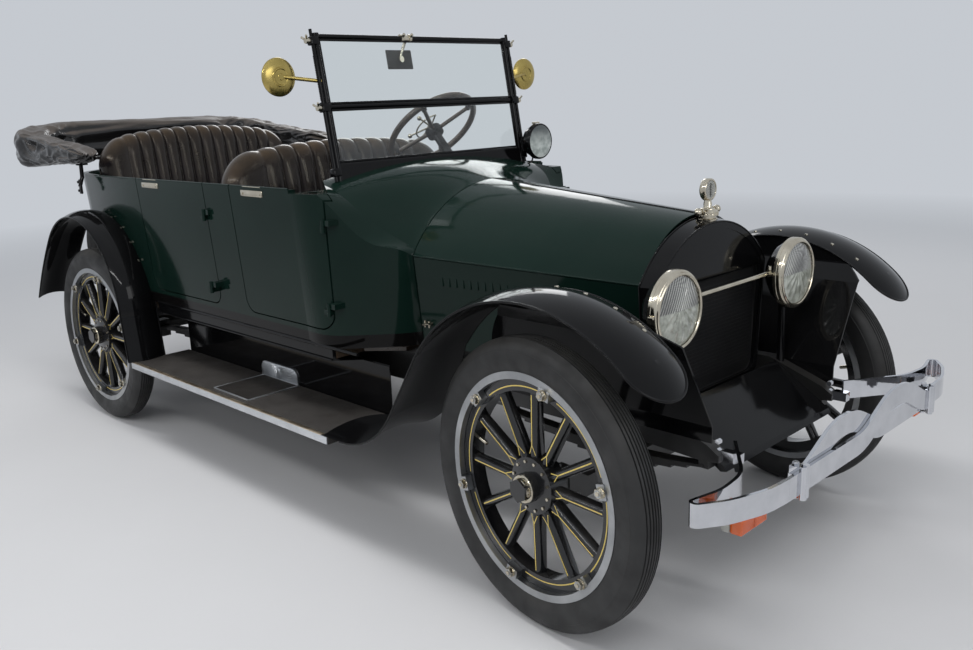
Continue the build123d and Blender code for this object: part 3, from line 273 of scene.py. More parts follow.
def makeVinyl():
    # folded top cloth: glossy black on its sides, taupe and rougher where it faces up
    material, tree, shader = startMaterial("topVinyl")
    upward = facingUp(tree, 0.30, 0.80)
    patches = ramp(tree, noiseFac(tree, objectCoords(tree), 5.0, 6.0), 0.30, 0.70)
    black = mixColor(tree, patches, (0.0060, 0.0060, 0.0068), (0.013, 0.0125, 0.0125))
    taupe = mixColor(tree, patches, (0.040, 0.032, 0.026), (0.078, 0.062, 0.050))
    duller = mathNode(tree, "MULTIPLY", upward, 0.25)
    feed(tree, shader, {
        "Base Color": mixColor(tree, upward, black, taupe),
        "Roughness": mathNode(tree, "ADD", grain(tree, 9.0, 0.09, 0.20)["Value"], duller),
        "Normal": bumpOf(tree, grain(tree, 420.0)["Height"], 0.18, 0.001)})
    return material


def glassMaterial(name, tint, rough):
    material, tree, shader = startMaterial(name)
    feed(tree, shader, {"Base Color": tint, "Roughness": rough, "Transmission Weight": 1.0, "IOR": 1.45})
    return material


lensPaintedRibs = {"ribTurn": radians(28), "ribPitch": 0.0098, "middle": (0.898, 0.904)}


def makeLampLens():
    # pressed lamp glass with painted light and shade: dark and light stripes along slanting ribs above, a painted
    # pale glow over the flutes below
    material, tree, shader = startMaterial("lampGlass")
    coords = objectCoords(tree)
    turn = addNode(tree, "ShaderNodeMapping", {"Rotation": (lensPaintedRibs["ribTurn"], 0, 0), "Vector": coords})
    along = mathNode(tree, "MULTIPLY", splitAxes(tree, turn.outputs[0])["Y"], 2 * pi / lensPaintedRibs["ribPitch"])
    rib = ramp(tree, mathNode(tree, "SINE", along), -0.5, 0.9)
    # upper holds the painted light and shade of the ribs, lower the painted pale glow of the flutes
    upper = mixColor(tree, rib, (0.17, 0.17, 0.165), (0.80, 0.81, 0.76))
    flute = ramp(tree, noiseFac(tree, coords, 38.0, 2.0), 0.38, 0.66)
    lower = mixColor(tree, flute, (0.46, 0.48, 0.41), (0.84, 0.87, 0.78))
    above = ramp(tree, splitAxes(tree, coords)["Z"], *lensPaintedRibs["middle"])
    feed(tree, shader, {
        "Base Color": mixColor(tree, above, lower, upper), "Roughness": grain(tree, 40.0, 0.05, 0.14)["Value"],
        "Transmission Weight": 0.30, "Coat Weight": 0.6, "Coat Roughness": 0.03})
    return material


spotFall = (1.296, 1.372)


def makeSpotGlass():
    # a clear glass over its bowl: dark above, where the bowl mirrors the ground, and pale below
    material, tree, shader = startMaterial("spotGlass")
    coords = objectCoords(tree)
    fall = ramp(tree, splitAxes(tree, coords)["Z"], *spotFall)
    streak = ramp(tree, noiseFac(tree, coords, 30.0, 2.0), 0.40, 0.62)
    pale = mixColor(tree, streak, (0.40, 0.46, 0.43), (0.74, 0.80, 0.76))
    feed(tree, shader, {
        "Base Color": mixColor(tree, fall, pale, (0.060, 0.075, 0.075)),
        "Roughness": grain(tree, 30.0, 0.04, 0.10)["Value"], "Coat Weight": 0.8, "Coat Roughness": 0.02})
    return material


seatLeather = makeLeather()
topVinyl = makeVinyl()
clearGlass = glassMaterial("clearGlass", (0.93, 0.97, 0.96), 0.02)
bulbGlass = glassMaterial("bulbGlass", (0.92, 0.90, 0.80), 0.10)
lampGlass = makeLampLens()
spotGlass = makeSpotGlass()

finishes = {
    "green_paint": greenPaint, "black_paint": blackPaint, "black_frame": frameBlack, "chrome_plate": chromePlate,
    "nickel": nickelPlate, "brass_mirror": brassPolish, "cast_engine": castIron, "forged_steel": frameBlack,
    "exhaust_steel": rimSteel, "tyre_rubber": tyreRubber, "board_mat": matRubber, "floor_wood": darkWood,
    "seat_leather": seatLeather, "top_vinyl": topVinyl, "amber_lens": amberLens, "clear_glass": clearGlass,
    "lamp_glass": lampGlass, "wood_wheel": blackPaint, "radiator_grille": frameBlack, "black_rim": darkWood,
    "wire_cover": matRubber,
}
# the record's slot for each finish of the pieces that only the scene has
dressSlots = {
    "blackPaint": "black_paint", "greenPaint": "green_paint", "nickelPlate": "nickel", "silverMirror": "nickel",
    "aluminium": "nickel", "warmEdge": "nickel", "dialCream": "nickel", "chromePlate": "chrome_plate",
    "brassPolish": "brass_mirror", "lampGlass": "lamp_glass", "bulbGlass": "lamp_glass", "spotGlass": "lamp_glass",
    "amberLens": "amber_lens", "paleCase": "amber_lens", "redLens": "amber_lens", "matRubber": "board_mat",
    "finBlack": "radiator_grille", "lineYellow": "wood_wheel", "topVinyl": "top_vinyl",
}
sillPainted = ("body_tub", "cowl", "door_front_right", "door_front_left", "door_rear_right", "door_rear_left")
blackPainted = ("splash_aprons", "rear_fenders", "front_fenders")
for row in frame["record"]["subparts"]:
    name = row["node"]
    finish = finishes[row["material_slot"]]
    if name in sillPainted + blackPainted:
        finish = bodyGreen if name in sillPainted else blackPaint
    nodes[name].data.materials.clear()
    nodes[name].data.materials.append(finish)
print("materials made")


# Shared shaping helpers

def lathe(bm, outline, steps, closed=True):
    # turns a short outline of (radius, height) points about local Z
    verts = [bm.verts.new((radius, 0, height)) for radius, height in outline]
    pairs = list(zip(verts, verts[1:]))
    if closed:
        pairs.append((verts[-1], verts[0]))
    edges = [bm.edges.new(pair) for pair in pairs]
    bmesh.ops.spin(bm, geom=verts + edges, cent=(0, 0, 0), axis=(0, 0, 1), angle=2 * pi, steps=steps, use_merge=True)


def cleanUp(bm):
    bmesh.ops.remove_doubles(bm, verts=bm.verts, dist=0.00002)
    bmesh.ops.recalc_face_normals(bm, faces=bm.faces)


def turnedMesh(outline, steps, place, closed=True):
    bm = bmesh.new()
    lathe(bm, outline, steps, closed)
    cleanUp(bm)
    bm.transform(place)
    return bm


def domeOutline(radius, height, rise, rings, back):
    # a crowned disc from its middle out to its edge, closed by points at its back
    front = [(radius * step / rings, height + rise * (1 - (step / rings) ** 2)) for step in range(rings + 1)]
    return front + back


def atSpot(x, y, z):
    return Matrix.Translation((x, y, z))


def spun(angle, axis):
    return Matrix.Rotation(angle, 4, axis)


def addBolt(bm, place, radius, height, sides=6):
    # a short prism standing on local Z, a little narrower at its top
    bmesh.ops.create_cone(bm, cap_ends=True, segments=sides, radius1=radius, radius2=radius * 0.94, depth=height,
                          matrix=place @ atSpot(0, 0, height / 2))


def addRod(bm, start, end, radius, sides=16):
    start, end = Vector(start), Vector(end)
    run = end - start
    place = Matrix.Translation((start + end) / 2) @ run.to_track_quat("Z", "Y").to_matrix().to_4x4()
    bmesh.ops.create_cone(bm, cap_ends=True, segments=sides, radius1=radius, radius2=radius, depth=run.length,
                          matrix=place)


def addBall(bm, spot, radius, segments=24, rings=16):
    bmesh.ops.create_uvsphere(bm, u_segments=segments, v_segments=rings, radius=radius,
                              matrix=Matrix.Translation(spot))


def addBlock(bm, corner, other, bevel=0.0):
    size = [abs(b - a) for a, b in zip(corner, other)]
    middle = [(a + b) / 2 for a, b in zip(corner, other)]
    made = bmesh.ops.create_cube(bm, size=1, matrix=Matrix.Translation(middle) @ Matrix.Diagonal((*size, 1)))
    if bevel:
        edges = list({edge for vert in made["verts"] for edge in vert.link_edges})
        bmesh.ops.bevel(bm, geom=edges, offset=bevel, segments=2, affect="EDGES", profile=0.5, material=-1)


def turnedTo(spot, axis):
    # a place whose local Z points along an axis
    return Matrix.Translation(spot) @ Vector(axis).to_track_quat("Z", "Y").to_matrix().to_4x4()


def facingForward(spot):
    return Matrix.Translation(spot) @ spun(pi / 2, "Y")


def facingBack(spot):
    return Matrix.Translation(spot) @ spun(-pi / 2, "Y")


def closeSheet(bm):
    # joins a bent grid along its meeting edges and caps its ends
    bmesh.ops.remove_doubles(bm, verts=bm.verts, dist=0.0001)
    bmesh.ops.holes_fill(bm, edges=[edge for edge in bm.edges if edge.is_boundary], sides=0)
    bmesh.ops.triangulate(bm, faces=[face for face in bm.faces if len(face.verts) > 4])
    bmesh.ops.recalc_face_normals(bm, faces=bm.faces)


def smoothSoft(obj):
    smooth = obj.modifiers.new("smoothing", "SUBSURF")
    smooth.levels = smooth.render_levels = 1


# Tyres

tyreShape = {"bead": 0.326, "tread": 0.432, "crown": 4.2, "grooves": (0.026, 0.0150, 0.0042), "grooveDepth": 0.004,
             "steps": 96}


def tyreOutline():
    shape = tyreShape
    half = [(shape["bead"], 0.0375), (0.333, 0.0425), (0.3352, 0.0445), (0.337, 0.0432), (0.350, 0.0485),
            (0.366, 0.0525), (0.384, 0.0538), (0.3955, 0.0530), (0.3965, 0.0520), (0.400, 0.0516), (0.411, 0.0468),
            (0.420, 0.0398), (0.4265, 0.0315)]
    for across in shape["grooves"]:
        top = shape["tread"] - shape["crown"] * across ** 2
        low = top - shape["grooveDepth"]
        half += [(top, across + 0.0033), (low, across + 0.0022), (low, across - 0.0005),
                 (top + 0.0003, across - 0.0016)]
    return half + [(radius, -height) for radius, height in reversed(half)]


def makeTyre(name, node, body, place):
    bm = turnedMesh(tyreOutline(), tyreShape["steps"], place)
    finishMesh(name, bm, tyreRubber, 35, body, replaces=node)


# Wood wheels

wheelDress = {
    "spokes": 12, "lineWidth": 0.0036, "lineStart": 0.121, "lineEnd": 0.268, "forkFoot": 0.092, "forkSpread": 0.0125,
    "felloeLine": 0.2885, "felloeFace": 0.0243, "felloeGap": radians(6.5), "lugs": 6, "lugRadius": 0.302,
    "lugTurn": radians(15), "hubBolts": 12, "hubBoltRadius": 0.0725, "stemTurn": radians(75), "stemRadius": 0.277,
    "rim": 0.3145, "lugFoot": 0.2865, "faceDepth": 0.0255,
}
hubCapOutline = [
    (0.0, 0.0805), (0.022, 0.0805), (0.0235, 0.0815), (0.026, 0.0818), (0.0275, 0.0805), (0.0285, 0.076),
    (0.0335, 0.0735), (0.0345, 0.066), (0.0405, 0.0648), (0.0425, 0.062), (0.0425, 0.0545), (0.041, 0.0525),
    (0.0, 0.0525),
]


def wheelPlace(end, side):
    row = next(row for row in frame["joints"] if row["name"] == f"{end}_wheel_{side}_roll")
    turn = atan2(-row["axis"][0], row["axis"][1]) + (pi if side == "right" else 0)
    return Matrix.Translation(row["pos_m"]) @ spun(turn, "Z") @ spun(-pi / 2, "X")


def turnAbout(bm, geom, angle):
    verts = [item for item in geom if isinstance(item, bmesh.types.BMVert)]
    bmesh.ops.rotate(bm, verts=verts, cent=(0, 0, 0), matrix=Matrix.Rotation(angle, 3, "Z"))


def addStroke(bm, start, end, width):
    # one painted line between two points of a surface facing local Z
    start, end = Vector(start), Vector(end)
    side = (end - start).cross(Vector((0, 0, 1))).normalized() * width / 2
    first = [bm.verts.new(start - side), bm.verts.new(start + side)]
    made = bmesh.ops.extrude_edge_only(bm, edges=[bm.edges.new(first)])
    ends = [item for item in made["geom"] if isinstance(item, bmesh.types.BMVert)]
    bmesh.ops.translate(bm, verts=ends, vec=end - start)
    return first + ends


def makeWheelLines(name, body, place, lugTurn):
    # a forked line along each spoke and arcs round the felloe between the lugs
    dress = wheelDress
    width, fork = dress["lineWidth"], (0, -dress["lineStart"], 0.0232)
    bm = bmesh.new()
    strokes = addStroke(bm, (0, -dress["lineEnd"], 0.0201), fork, width)
    for sign in (1, -1):
        strokes += addStroke(bm, fork, (sign * dress["forkSpread"], -dress["forkFoot"], 0.0205), width * 0.8)
    for number in range(1, dress["spokes"]):
        copy = bmesh.ops.duplicate(bm, geom=strokes + list({e for v in strokes for e in v.link_edges})
                                   + list({f for v in strokes for f in v.link_faces}))
        turnAbout(bm, copy["geom"], 2 * pi * number / dress["spokes"])
    gap, sweep = dress["felloeGap"], 2 * pi / dress["lugs"]
    for number in range(dress["lugs"]):
        first = [bm.verts.new((0, -dress["felloeLine"] - offset, dress["felloeFace"])) for offset in (0, width)]
        edge = bm.edges.new(first)
        turnAbout(bm, first, lugTurn + sweep * number + gap)
        bmesh.ops.spin(bm, geom=first + [edge], cent=(0, 0, 0), axis=(0, 0, 1), angle=sweep - 2 * gap, steps=12)
    bmesh.ops.recalc_face_normals(bm, faces=bm.faces)
    for face in bm.faces:
        if face.normal.z < 0:
            face.normal_flip()
    bm.transform(place)
    finishMesh(name, bm, lineYellow, 0, body)


def makeWheelMetal(name, body, place, lugTurn):
    # hub cap, hub bolts, rim nuts with their washers, and the valve stem
    dress = wheelDress
    bm = bmesh.new()
    lathe(bm, hubCapOutline, 32, closed=False)
    for number in range(dress["hubBolts"]):
        angle = 2 * pi * (number + 0.5) / dress["hubBolts"]
        addBolt(bm, spun(angle, "Z") @ atSpot(0, -dress["hubBoltRadius"], 0.0298), 0.0052, 0.006)
    for number in range(dress["lugs"]):
        spot = spun(lugTurn + 2 * pi * number / dress["lugs"], "Z") @ atSpot(0, -dress["lugRadius"], 0)
        addBolt(bm, spot @ atSpot(0, 0, 0.0478), 0.0165, 0.003, 20)
        addBolt(bm, spot @ atSpot(0, 0, 0.0505), 0.0150, 0.0105)
        addBolt(bm, spot @ atSpot(0, 0, 0.0605), 0.0065, 0.004, 12)
    stem = spun(dress["stemTurn"], "Z") @ atSpot(0, -dress["stemRadius"], 0.004)
    addBolt(bm, stem @ spun(-pi / 2, "X"), 0.0068, 0.044, 12)
    cleanUp(bm)
    bm.transform(place)
    finishMesh(name, bm, nickelPlate, 30, body)


def wheelFinish(name, place):
    # black wood inside the steel rim; the pattern is centred on the wheel by a Mapping node
    dress = wheelDress
    material, tree, shader = startMaterial(name)
    coords = objectCoords(tree)
    local = splitAxes(tree, addNode(tree, "ShaderNodeMapping", {
        "Location": place.to_translation(), "Rotation": place.to_euler(), "Vector": coords,
    }, vector_type="TEXTURE").outputs[0])
    flat = addNode(tree, "ShaderNodeCombineXYZ", {"X": local["X"], "Y": local["Y"]}).outputs[0]
    radius = addNode(tree, "ShaderNodeVectorMath", {0: flat}, operation="LENGTH").outputs["Value"]
    steel = mathNode(tree, "GREATER_THAN", radius, dress["rim"])
    outer = mathNode(tree, "GREATER_THAN", mathNode(tree, "ABSOLUTE", local["Z"]), dress["faceDepth"])
    lug = mathNode(tree, "MULTIPLY", mathNode(tree, "GREATER_THAN", radius, dress["lugFoot"]), outer)
    metal = mathNode(tree, "MAXIMUM", steel, lug)
    tone = ramp(tree, noiseFac(tree, coords, 9.0), 0.3, 0.7)
    black = mixColor(tree, tone, (0.005, 0.005, 0.006), (0.010, 0.010, 0.011))
    bare = mixColor(tree, tone, (0.46, 0.47, 0.48), (0.30, 0.31, 0.32))
    polish = grain(tree, 22.0, 0.12, 0.22)["Value"]
    base = mixColor(tree, metal, black, bare)
    feed(tree, shader, {
        "Base Color": mixColor(tree, dustMask(tree, 0.10, 9.0), base, (0.30, 0.28, 0.25)),
        "Metallic": metal, "Roughness": mathNode(tree, "ADD", polish, mathNode(tree, "MULTIPLY", metal, 0.16)),
        "Coat Weight": 0.3, "Coat Roughness": 0.08,
        "Normal": bumpOf(tree, grain(tree, 70.0)["Height"], 0.05, 0.002)})
    return material


for end in ("front", "rear"):
    for side in ("right", "left"):
        body = f"wheel_{end}_{side}"
        place = wheelPlace(end, side)
        lugTurn = wheelDress["lugTurn"] * (1 if side == "left" else -1)
        makeTyre(f"tyre_{end}_{side}_ribbed", f"tyre_{end}_{side}", body, place)
        makeWheelLines(f"wheel_{end}_{side}_lines", body, place, lugTurn)
        makeWheelMetal(f"wheel_{end}_{side}_metal", body, place, lugTurn)
        nodes[body].data.materials[0] = wheelFinish(f"wheelFinish{end.capitalize()}{side.capitalize()}", place)
spareLow, spareHigh = (Vector(corner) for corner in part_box("spare_tyre"))
sparePlace = Matrix.Translation((spareLow + spareHigh) / 2) @ spun(pi / 2, "Z") @ spun(-pi / 2, "X")
makeTyre("spare_tyre_ribbed", "spare_tyre", "root", sparePlace)
print("wheels and tyres dressed")


# Seats: pleated pads whose seams are held while pressure fills the leather between them

seatPads = {
    "front_back": {"node": "front_seat", "spot": (-0.2775, 0, 1.290), "lean": -8, "half": 0.600, "reach": 0.425,
                   "rise": 0.050, "thick": 0.120, "pleats": 10, "endWidth": 0.190, "corner": 0.17},
    "rear_back": {"node": "rear_seat", "spot": (-1.5775, 0, 1.350), "lean": -8, "half": 0.552, "reach": 0.490,
                  "rise": 0.058, "thick": 0.130, "pleats": 12, "endWidth": 0.135, "corner": 0.16},
    "front_cushion": {"node": "front_seat", "spot": (0.3075, 0, 0.853), "lean": None, "half": 0.583, "reach": 0.415,
                      "rise": 0.0, "thick": 0.120, "pleats": 11, "endWidth": 0.08, "corner": 0.06},
    "rear_cushion": {"node": "rear_seat", "spot": (-0.9575, 0, 0.853), "lean": None, "half": 0.553, "reach": 0.425,
                     "rise": 0.0, "thick": 0.120, "pleats": 11, "endWidth": 0.06, "corner": 0.06},
}
# shares of the way round a pad's section: up its front, over its top and down its back
padding = {"around": 34, "perPleat": 8, "endColumns": 14, "seamDepth": 0.009, "puff": 0.012, "endPuff": 1.3,
           "rim": 0.07, "frontShare": 0.5, "topShare": 0.28, "pressure": 4.0, "mostMove": 0.005, "frames": 20}


def padColumns(pad):
    # places across the pad, with True where a seam runs
    inner = pad["half"] - pad["endWidth"]
    ends = [inner + pad["endWidth"] * sin(pi / 2 * step / padding["endColumns"])
            for step in range(1, padding["endColumns"] + 1)]
    width = 2 * inner / pad["pleats"]
    middle = []
    for step in range(pad["pleats"] * padding["perPleat"] + 1):
        pleat, part = divmod(step, padding["perPleat"])
        turn = pi * part / padding["perPleat"]
        middle.append((-inner + width * (pleat + (1 - cos(turn)) / 2), part == 0))
    return [(-y, False) for y in reversed(ends)] + middle + [(y, False) for y in ends]


def padSection(pad, across, share):
    # a point of the section at one place across, the way out there, and how far it may puff from 0 to 1
    beyond = max(0.0, abs(across) - (pad["half"] - pad["corner"])) / pad["corner"]
    drop = pad["corner"] * (1 - sqrt(max(0.0, 1 - beyond ** 2)))
    top = pad["rise"] * (1 - (across / pad["half"]) ** 2) - drop * 0.9
    rim = max(0.0, abs(across) - (pad["half"] - padding["rim"])) / padding["rim"]
    thick = pad["thick"] * (0.03 + 0.97 * sqrt(max(0.0, 1 - rim ** 2)))
    back = (pad["thick"] - thick) * 0.5
    radius = thick / 2
    low = -pad["reach"]
    front, over = padding["frontShare"], padding["topShare"]
    if share < front:
        z = low + (top - radius - low) * share / front
        return Vector((back + thick, across, z)), Vector((1, 0, 0)), min(1.0, share / 0.08)
    if share < front + over:
        angle = pi * (share - front) / over
        out = Vector((cos(angle), 0, sin(angle)))
        soft = 1.0 - max(0.0, share - front - over / 2) / (over / 2)
        return Vector((back + radius, across, top - radius)) + out * radius, out, soft
    z = top - radius + (low - top + radius) * (share - front - over) / (1 - front - over)
    return Vector((back, across, z)), Vector((-1, 0, 0)), 0.0


def padPlace(pad):
    # a back leans on its spot, and a cushion lies with its section's height pointing back
    if pad["lean"] is None:
        return Matrix.Translation(pad["spot"]) @ Matrix(((0, 0, 1, 0), (0, -1, 0, 0), (1, 0, 0, 0), (0, 0, 0, 1)))
    return Matrix.Translation(pad["spot"]) @ spun(radians(pad["lean"]), "Y")


def makePad(name, pad):
    columns = padColumns(pad)
    inner = pad["half"] - pad["endWidth"]
    width = 2 * inner / pad["pleats"]
    bm = bmesh.new()
    bmesh.ops.create_grid(bm, x_segments=len(columns) - 1, y_segments=padding["around"], size=1)
    seams = []
    for vert in bm.verts:
        across, seam = columns[round((vert.co.x + 1) / 2 * (len(columns) - 1))]
        spot, out, soft = padSection(pad, across, (vert.co.y + 1) / 2)
        if abs(across) > inner:
            edge = min(1.0, (abs(across) - inner) / pad["endWidth"])
            puff = padding["puff"] * padding["endPuff"] * sin(pi * edge) ** 0.5
        else:
            between = (across + inner) % width / width if abs(across) < inner else 0.5
            puff = padding["puff"] * sin(pi * between) ** 0.5 - padding["seamDepth"] * seam
        vert.co = spot + out * puff * soft
        if seam or soft < 0.5 or abs(across) > pad["half"] - 0.001:
            seams.append(vert.co.copy())
    closeSheet(bm)
    bm.transform(padPlace(pad))
    held = {tuple(round(c, 4) for c in padPlace(pad) @ spot) for spot in seams}
    obj = finishMesh(f"{name}_pleated", bm, seatLeather, 0)
    obj.data.shade_smooth()
    group = obj.vertex_groups.new(name="seams")
    group.add([v.index for v in obj.data.vertices if tuple(round(c, 4) for c in v.co) in held], 1.0, "REPLACE")
    fillPad(obj)
    smoothSoft(obj)
    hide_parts(pad["node"])


def fillPad(obj):
    # pressure rounds the leather between its seams; no point moves further than the cap
    start = [v.co.copy() for v in obj.data.vertices]
    cloth = obj.modifiers.new("filling", "CLOTH")
    cloth.settings.use_pressure = True
    cloth.settings.uniform_pressure_force = padding["pressure"]
    cloth.settings.effector_weights.gravity = 0
    cloth.settings.vertex_group_mass = "seams"
    cloth.settings.tension_stiffness = cloth.settings.compression_stiffness = 30
    cloth.settings.quality = 5
    scene = bpy.context.scene
    for step in range(1, padding["frames"] + 1):
        scene.frame_set(step)
    shaped = bpy.data.meshes.new_from_object(obj.evaluated_get(bpy.context.evaluated_depsgraph_get()))
    ends = [v.co.copy() for v in shaped.vertices]
    obj.modifiers.remove(cloth)
    scene.frame_set(1)
    for vert, first, last in zip(obj.data.vertices, start, ends):
        step = last - first
        if step.length > padding["mostMove"]:
            step *= padding["mostMove"] / step.length
        vert.co = first + step
    bpy.data.meshes.remove(shaped)


for padName, pad in seatPads.items():
    makePad(padName, pad)
print("seats padded")


# Folded top

topBundle = {"around": 56, "stations": 220, "arm": (-1.2275, 0.7025), "side": -1.8875, "back": -2.1375,
             "corner": 0.42, "straight": 0.52, "bend": 0.36, "tip": 0.012, "crease": 0.040, "ripple": 0.0016,
             "sag": 0.018}
# x, half width, low and high of the bundle, from the arms' front ends to the back
bundleMarks = [
    (-1.2275, 0.052, 1.292, 1.340), (-1.3375, 0.060, 1.275, 1.364), (-1.5875, 0.062, 1.262, 1.390),
    (-1.8875, 0.066, 1.252, 1.424), (-1.9875, 0.100, 1.244, 1.444), (-2.1375, 0.142, 1.248, 1.474),
    (-2.2875, 0.150, 1.254, 1.442),
]


def topPath(share):
    # the middle line of the bundle in plan, from the right arm round the back to the left arm
    shape = topBundle
    armX, armY = shape["arm"]
    straight, bend, corner = shape["straight"], shape["bend"], shape["corner"]
    s = min(share, 1 - share) * 2
    if s < straight:
        x, y = armX + (shape["side"] - armX) * s / straight, -armY
    elif s < straight + bend:
        angle = (s - straight) / bend * pi / 2
        x = shape["side"] - (shape["side"] - shape["back"]) * sin(angle)
        y = -corner - (armY - corner) * cos(angle)
    else:
        x, y = shape["back"], -corner * (1 - (s - straight - bend) / (1 - straight - bend))
    return Vector((x, y if share < 0.5 else -y))


def topSize(x):
    # half width, low and high of the bundle at one place along the car
    for first, last in zip(bundleMarks, bundleMarks[1:]):
        if x >= last[0] or last is bundleMarks[-1]:
            t = min(1.0, max(0.0, (first[0] - x) / (first[0] - last[0])))
            return [p + (q - p) * t for p, q in zip(first[1:], last[1:])]


def creaseAt(share, c, s):
    # how far the cover stands out, from two sets of sharp folds and a fine ripple
    fold = 1 - abs(noise.noise(Vector((share * 17 + c * 0.8, c * 1.1, s * 1.3 + 3.1)))) * 2.6
    cross = 1 - abs(noise.noise(Vector((share * 11 - s * 1.1, c * 1.2 + 9.4, s * 1.5)))) * 2.6
    small = noise.noise(Vector((share * 90, c * 2.2, s * 2.2 + 7.7)))
    depth = topBundle["crease"] * (0.35 + 0.65 * max(0.0, 1 - max(0.0, s)))
    return (max(fold, cross) - 0.80) * depth * 0.7 + small * topBundle["ripple"]


def makeFoldedTop():
    bm = bmesh.new()
    bmesh.ops.create_grid(bm, x_segments=topBundle["stations"], y_segments=topBundle["around"], size=1)
    for vert in bm.verts:
        share = (vert.co.x + 1) / 2
        angle = vert.co.y * pi
        here = topPath(share)
        way = (topPath(min(1, share + 0.004)) - topPath(max(0, share - 0.004))).normalized()
        out = Vector((way.y, -way.x))
        half, low, high = topSize(here.x)
        grow = 0.55 + 0.45 * sqrt(min(1.0, min(share, 1 - share) / topBundle["tip"]))
        c, s = cos(angle), sin(angle)
        across = copysign(abs(c) ** 0.62, c) * half * grow
        lift = copysign(abs(s) ** 0.72, s) * (high - low) / 2 * grow
        sag = -topBundle["sag"] * max(0.0, s) * (1 - min(1.0, abs(across) / 0.05))
        spot = Vector((here.x + out.x * across, here.y + out.y * across, (low + high) / 2 + lift))
        vert.co = spot + Vector((out.x * c, out.y * c, s)) * creaseAt(share, c, s) + Vector((0, 0, sag))
    closeSheet(bm)
    obj = finishMesh("folded_top_cover", bm, topVinyl, 0)
    obj.data.shade_smooth()
    smoothSoft(obj)
    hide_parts("folded_top")


def makeTopIrons():
    # a forged plate on the body, a bent stay up to the arm, and a strap round the bundle
    low, high = (Vector(corner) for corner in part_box("top_irons"))
    inner, outer = 0.690, high.y - 0.004
    middle = (low.x + high.x) / 2
    for sign, side in bothSides:
        bm = bmesh.new()
        addBlock(bm, (low.x + 0.006, sign * inner, low.z + 0.004),
                 (high.x - 0.006, sign * (inner + 0.010), low.z + 0.075), 0.004)
        foot = Vector((middle, sign * (inner + 0.008), low.z + 0.040))
        knee = Vector((middle - 0.004, sign * (outer - 0.020), low.z + 0.085))
        head = Vector((middle - 0.004, sign * (outer - 0.022), high.z - 0.006))
        addRod(bm, foot, knee, 0.0095)
        addBall(bm, knee, 0.0098, 16, 12)
        addRod(bm, knee, head, 0.0095)
        for along in (-0.012, 0.012):
            for up in (0.020, 0.062):
                spot = (middle + along, sign * (inner + 0.010), low.z + up)
                addBolt(bm, turnedTo(spot, (0, sign, 0)), 0.0065, 0.004)
        addBlock(bm, (low.x + 0.004, sign * (outer - 0.050), high.z - 0.010), (high.x - 0.004, sign * outer, high.z),
                 0.003)
        finishMesh(f"top_iron_{side}", bm, blackPaint, 35, replaces="top_irons")


makeFoldedTop()
makeTopIrons()
print("folded top made")


# Headlamps

headlampDress = {
    "spot": (1.8485, 0.352, 0.898), "lens": 0.1012, "dome": 0.007, "ribPitch": 0.0092, "ribDepth": 0.0011,
    "ribTurn": radians(-28), "flutes": 34, "bulb": -0.040, "barBack": 0.040, "barHalf": 0.262,
}
lampRimOutline = [
    (0.1185, -0.0235), (0.1199, -0.0225), (0.1202, -0.0130), (0.1193, -0.0118), (0.1202, -0.0105), (0.1202, -0.0015),
    (0.1188, 0.0018), (0.1150, 0.0050), (0.1134, 0.0054), (0.1122, 0.0088), (0.1090, 0.0105), (0.1052, 0.0102),
    (0.1030, 0.0082), (0.1018, 0.0040), (0.1014, -0.0120), (0.1021, -0.0120), (0.1030, -0.0020), (0.1060, 0.0050),
    (0.1090, 0.0050), (0.1165, 0.0),
]
reflectorOutline = [
    (0.1000, -0.0145), (0.0912, -0.0330), (0.0822, -0.0500), (0.0700, -0.0605), (0.0522, -0.0712), (0.0180, -0.0812),
    (0.0, -0.0816),
]


def lensRelief(across, up):
    # slanting ribs over the upper half, short flutes below
    dress = headlampDress
    if up > 0.004:
        along = across * cos(dress["ribTurn"]) + up * sin(dress["ribTurn"])
        return dress["ribDepth"] * sin(2 * pi * along / dress["ribPitch"])
    return dress["ribDepth"] * 0.8 * sin(dress["flutes"] * atan2(across, up - 0.02) / 2)


def makeLens(name, spot):
    radius = headlampDress["lens"]
    outline = domeOutline(radius, 0.003, headlampDress["dome"], 34, [(radius, -0.002), (0.0, 0.0045)])
    bm = turnedMesh(outline, 96, facingForward(spot), closed=False)
    for vert in bm.verts:
        reach = (vert.co - Vector(spot)).yz.length
        if vert.co.x - spot[0] > 0.0028 and 0.002 < reach < radius * 0.985:
            vert.co.x += lensRelief(vert.co.y - spot[1], vert.co.z - spot[2])
    finishMesh(name, bm, lampGlass, 50, replaces="headlamp_lenses")


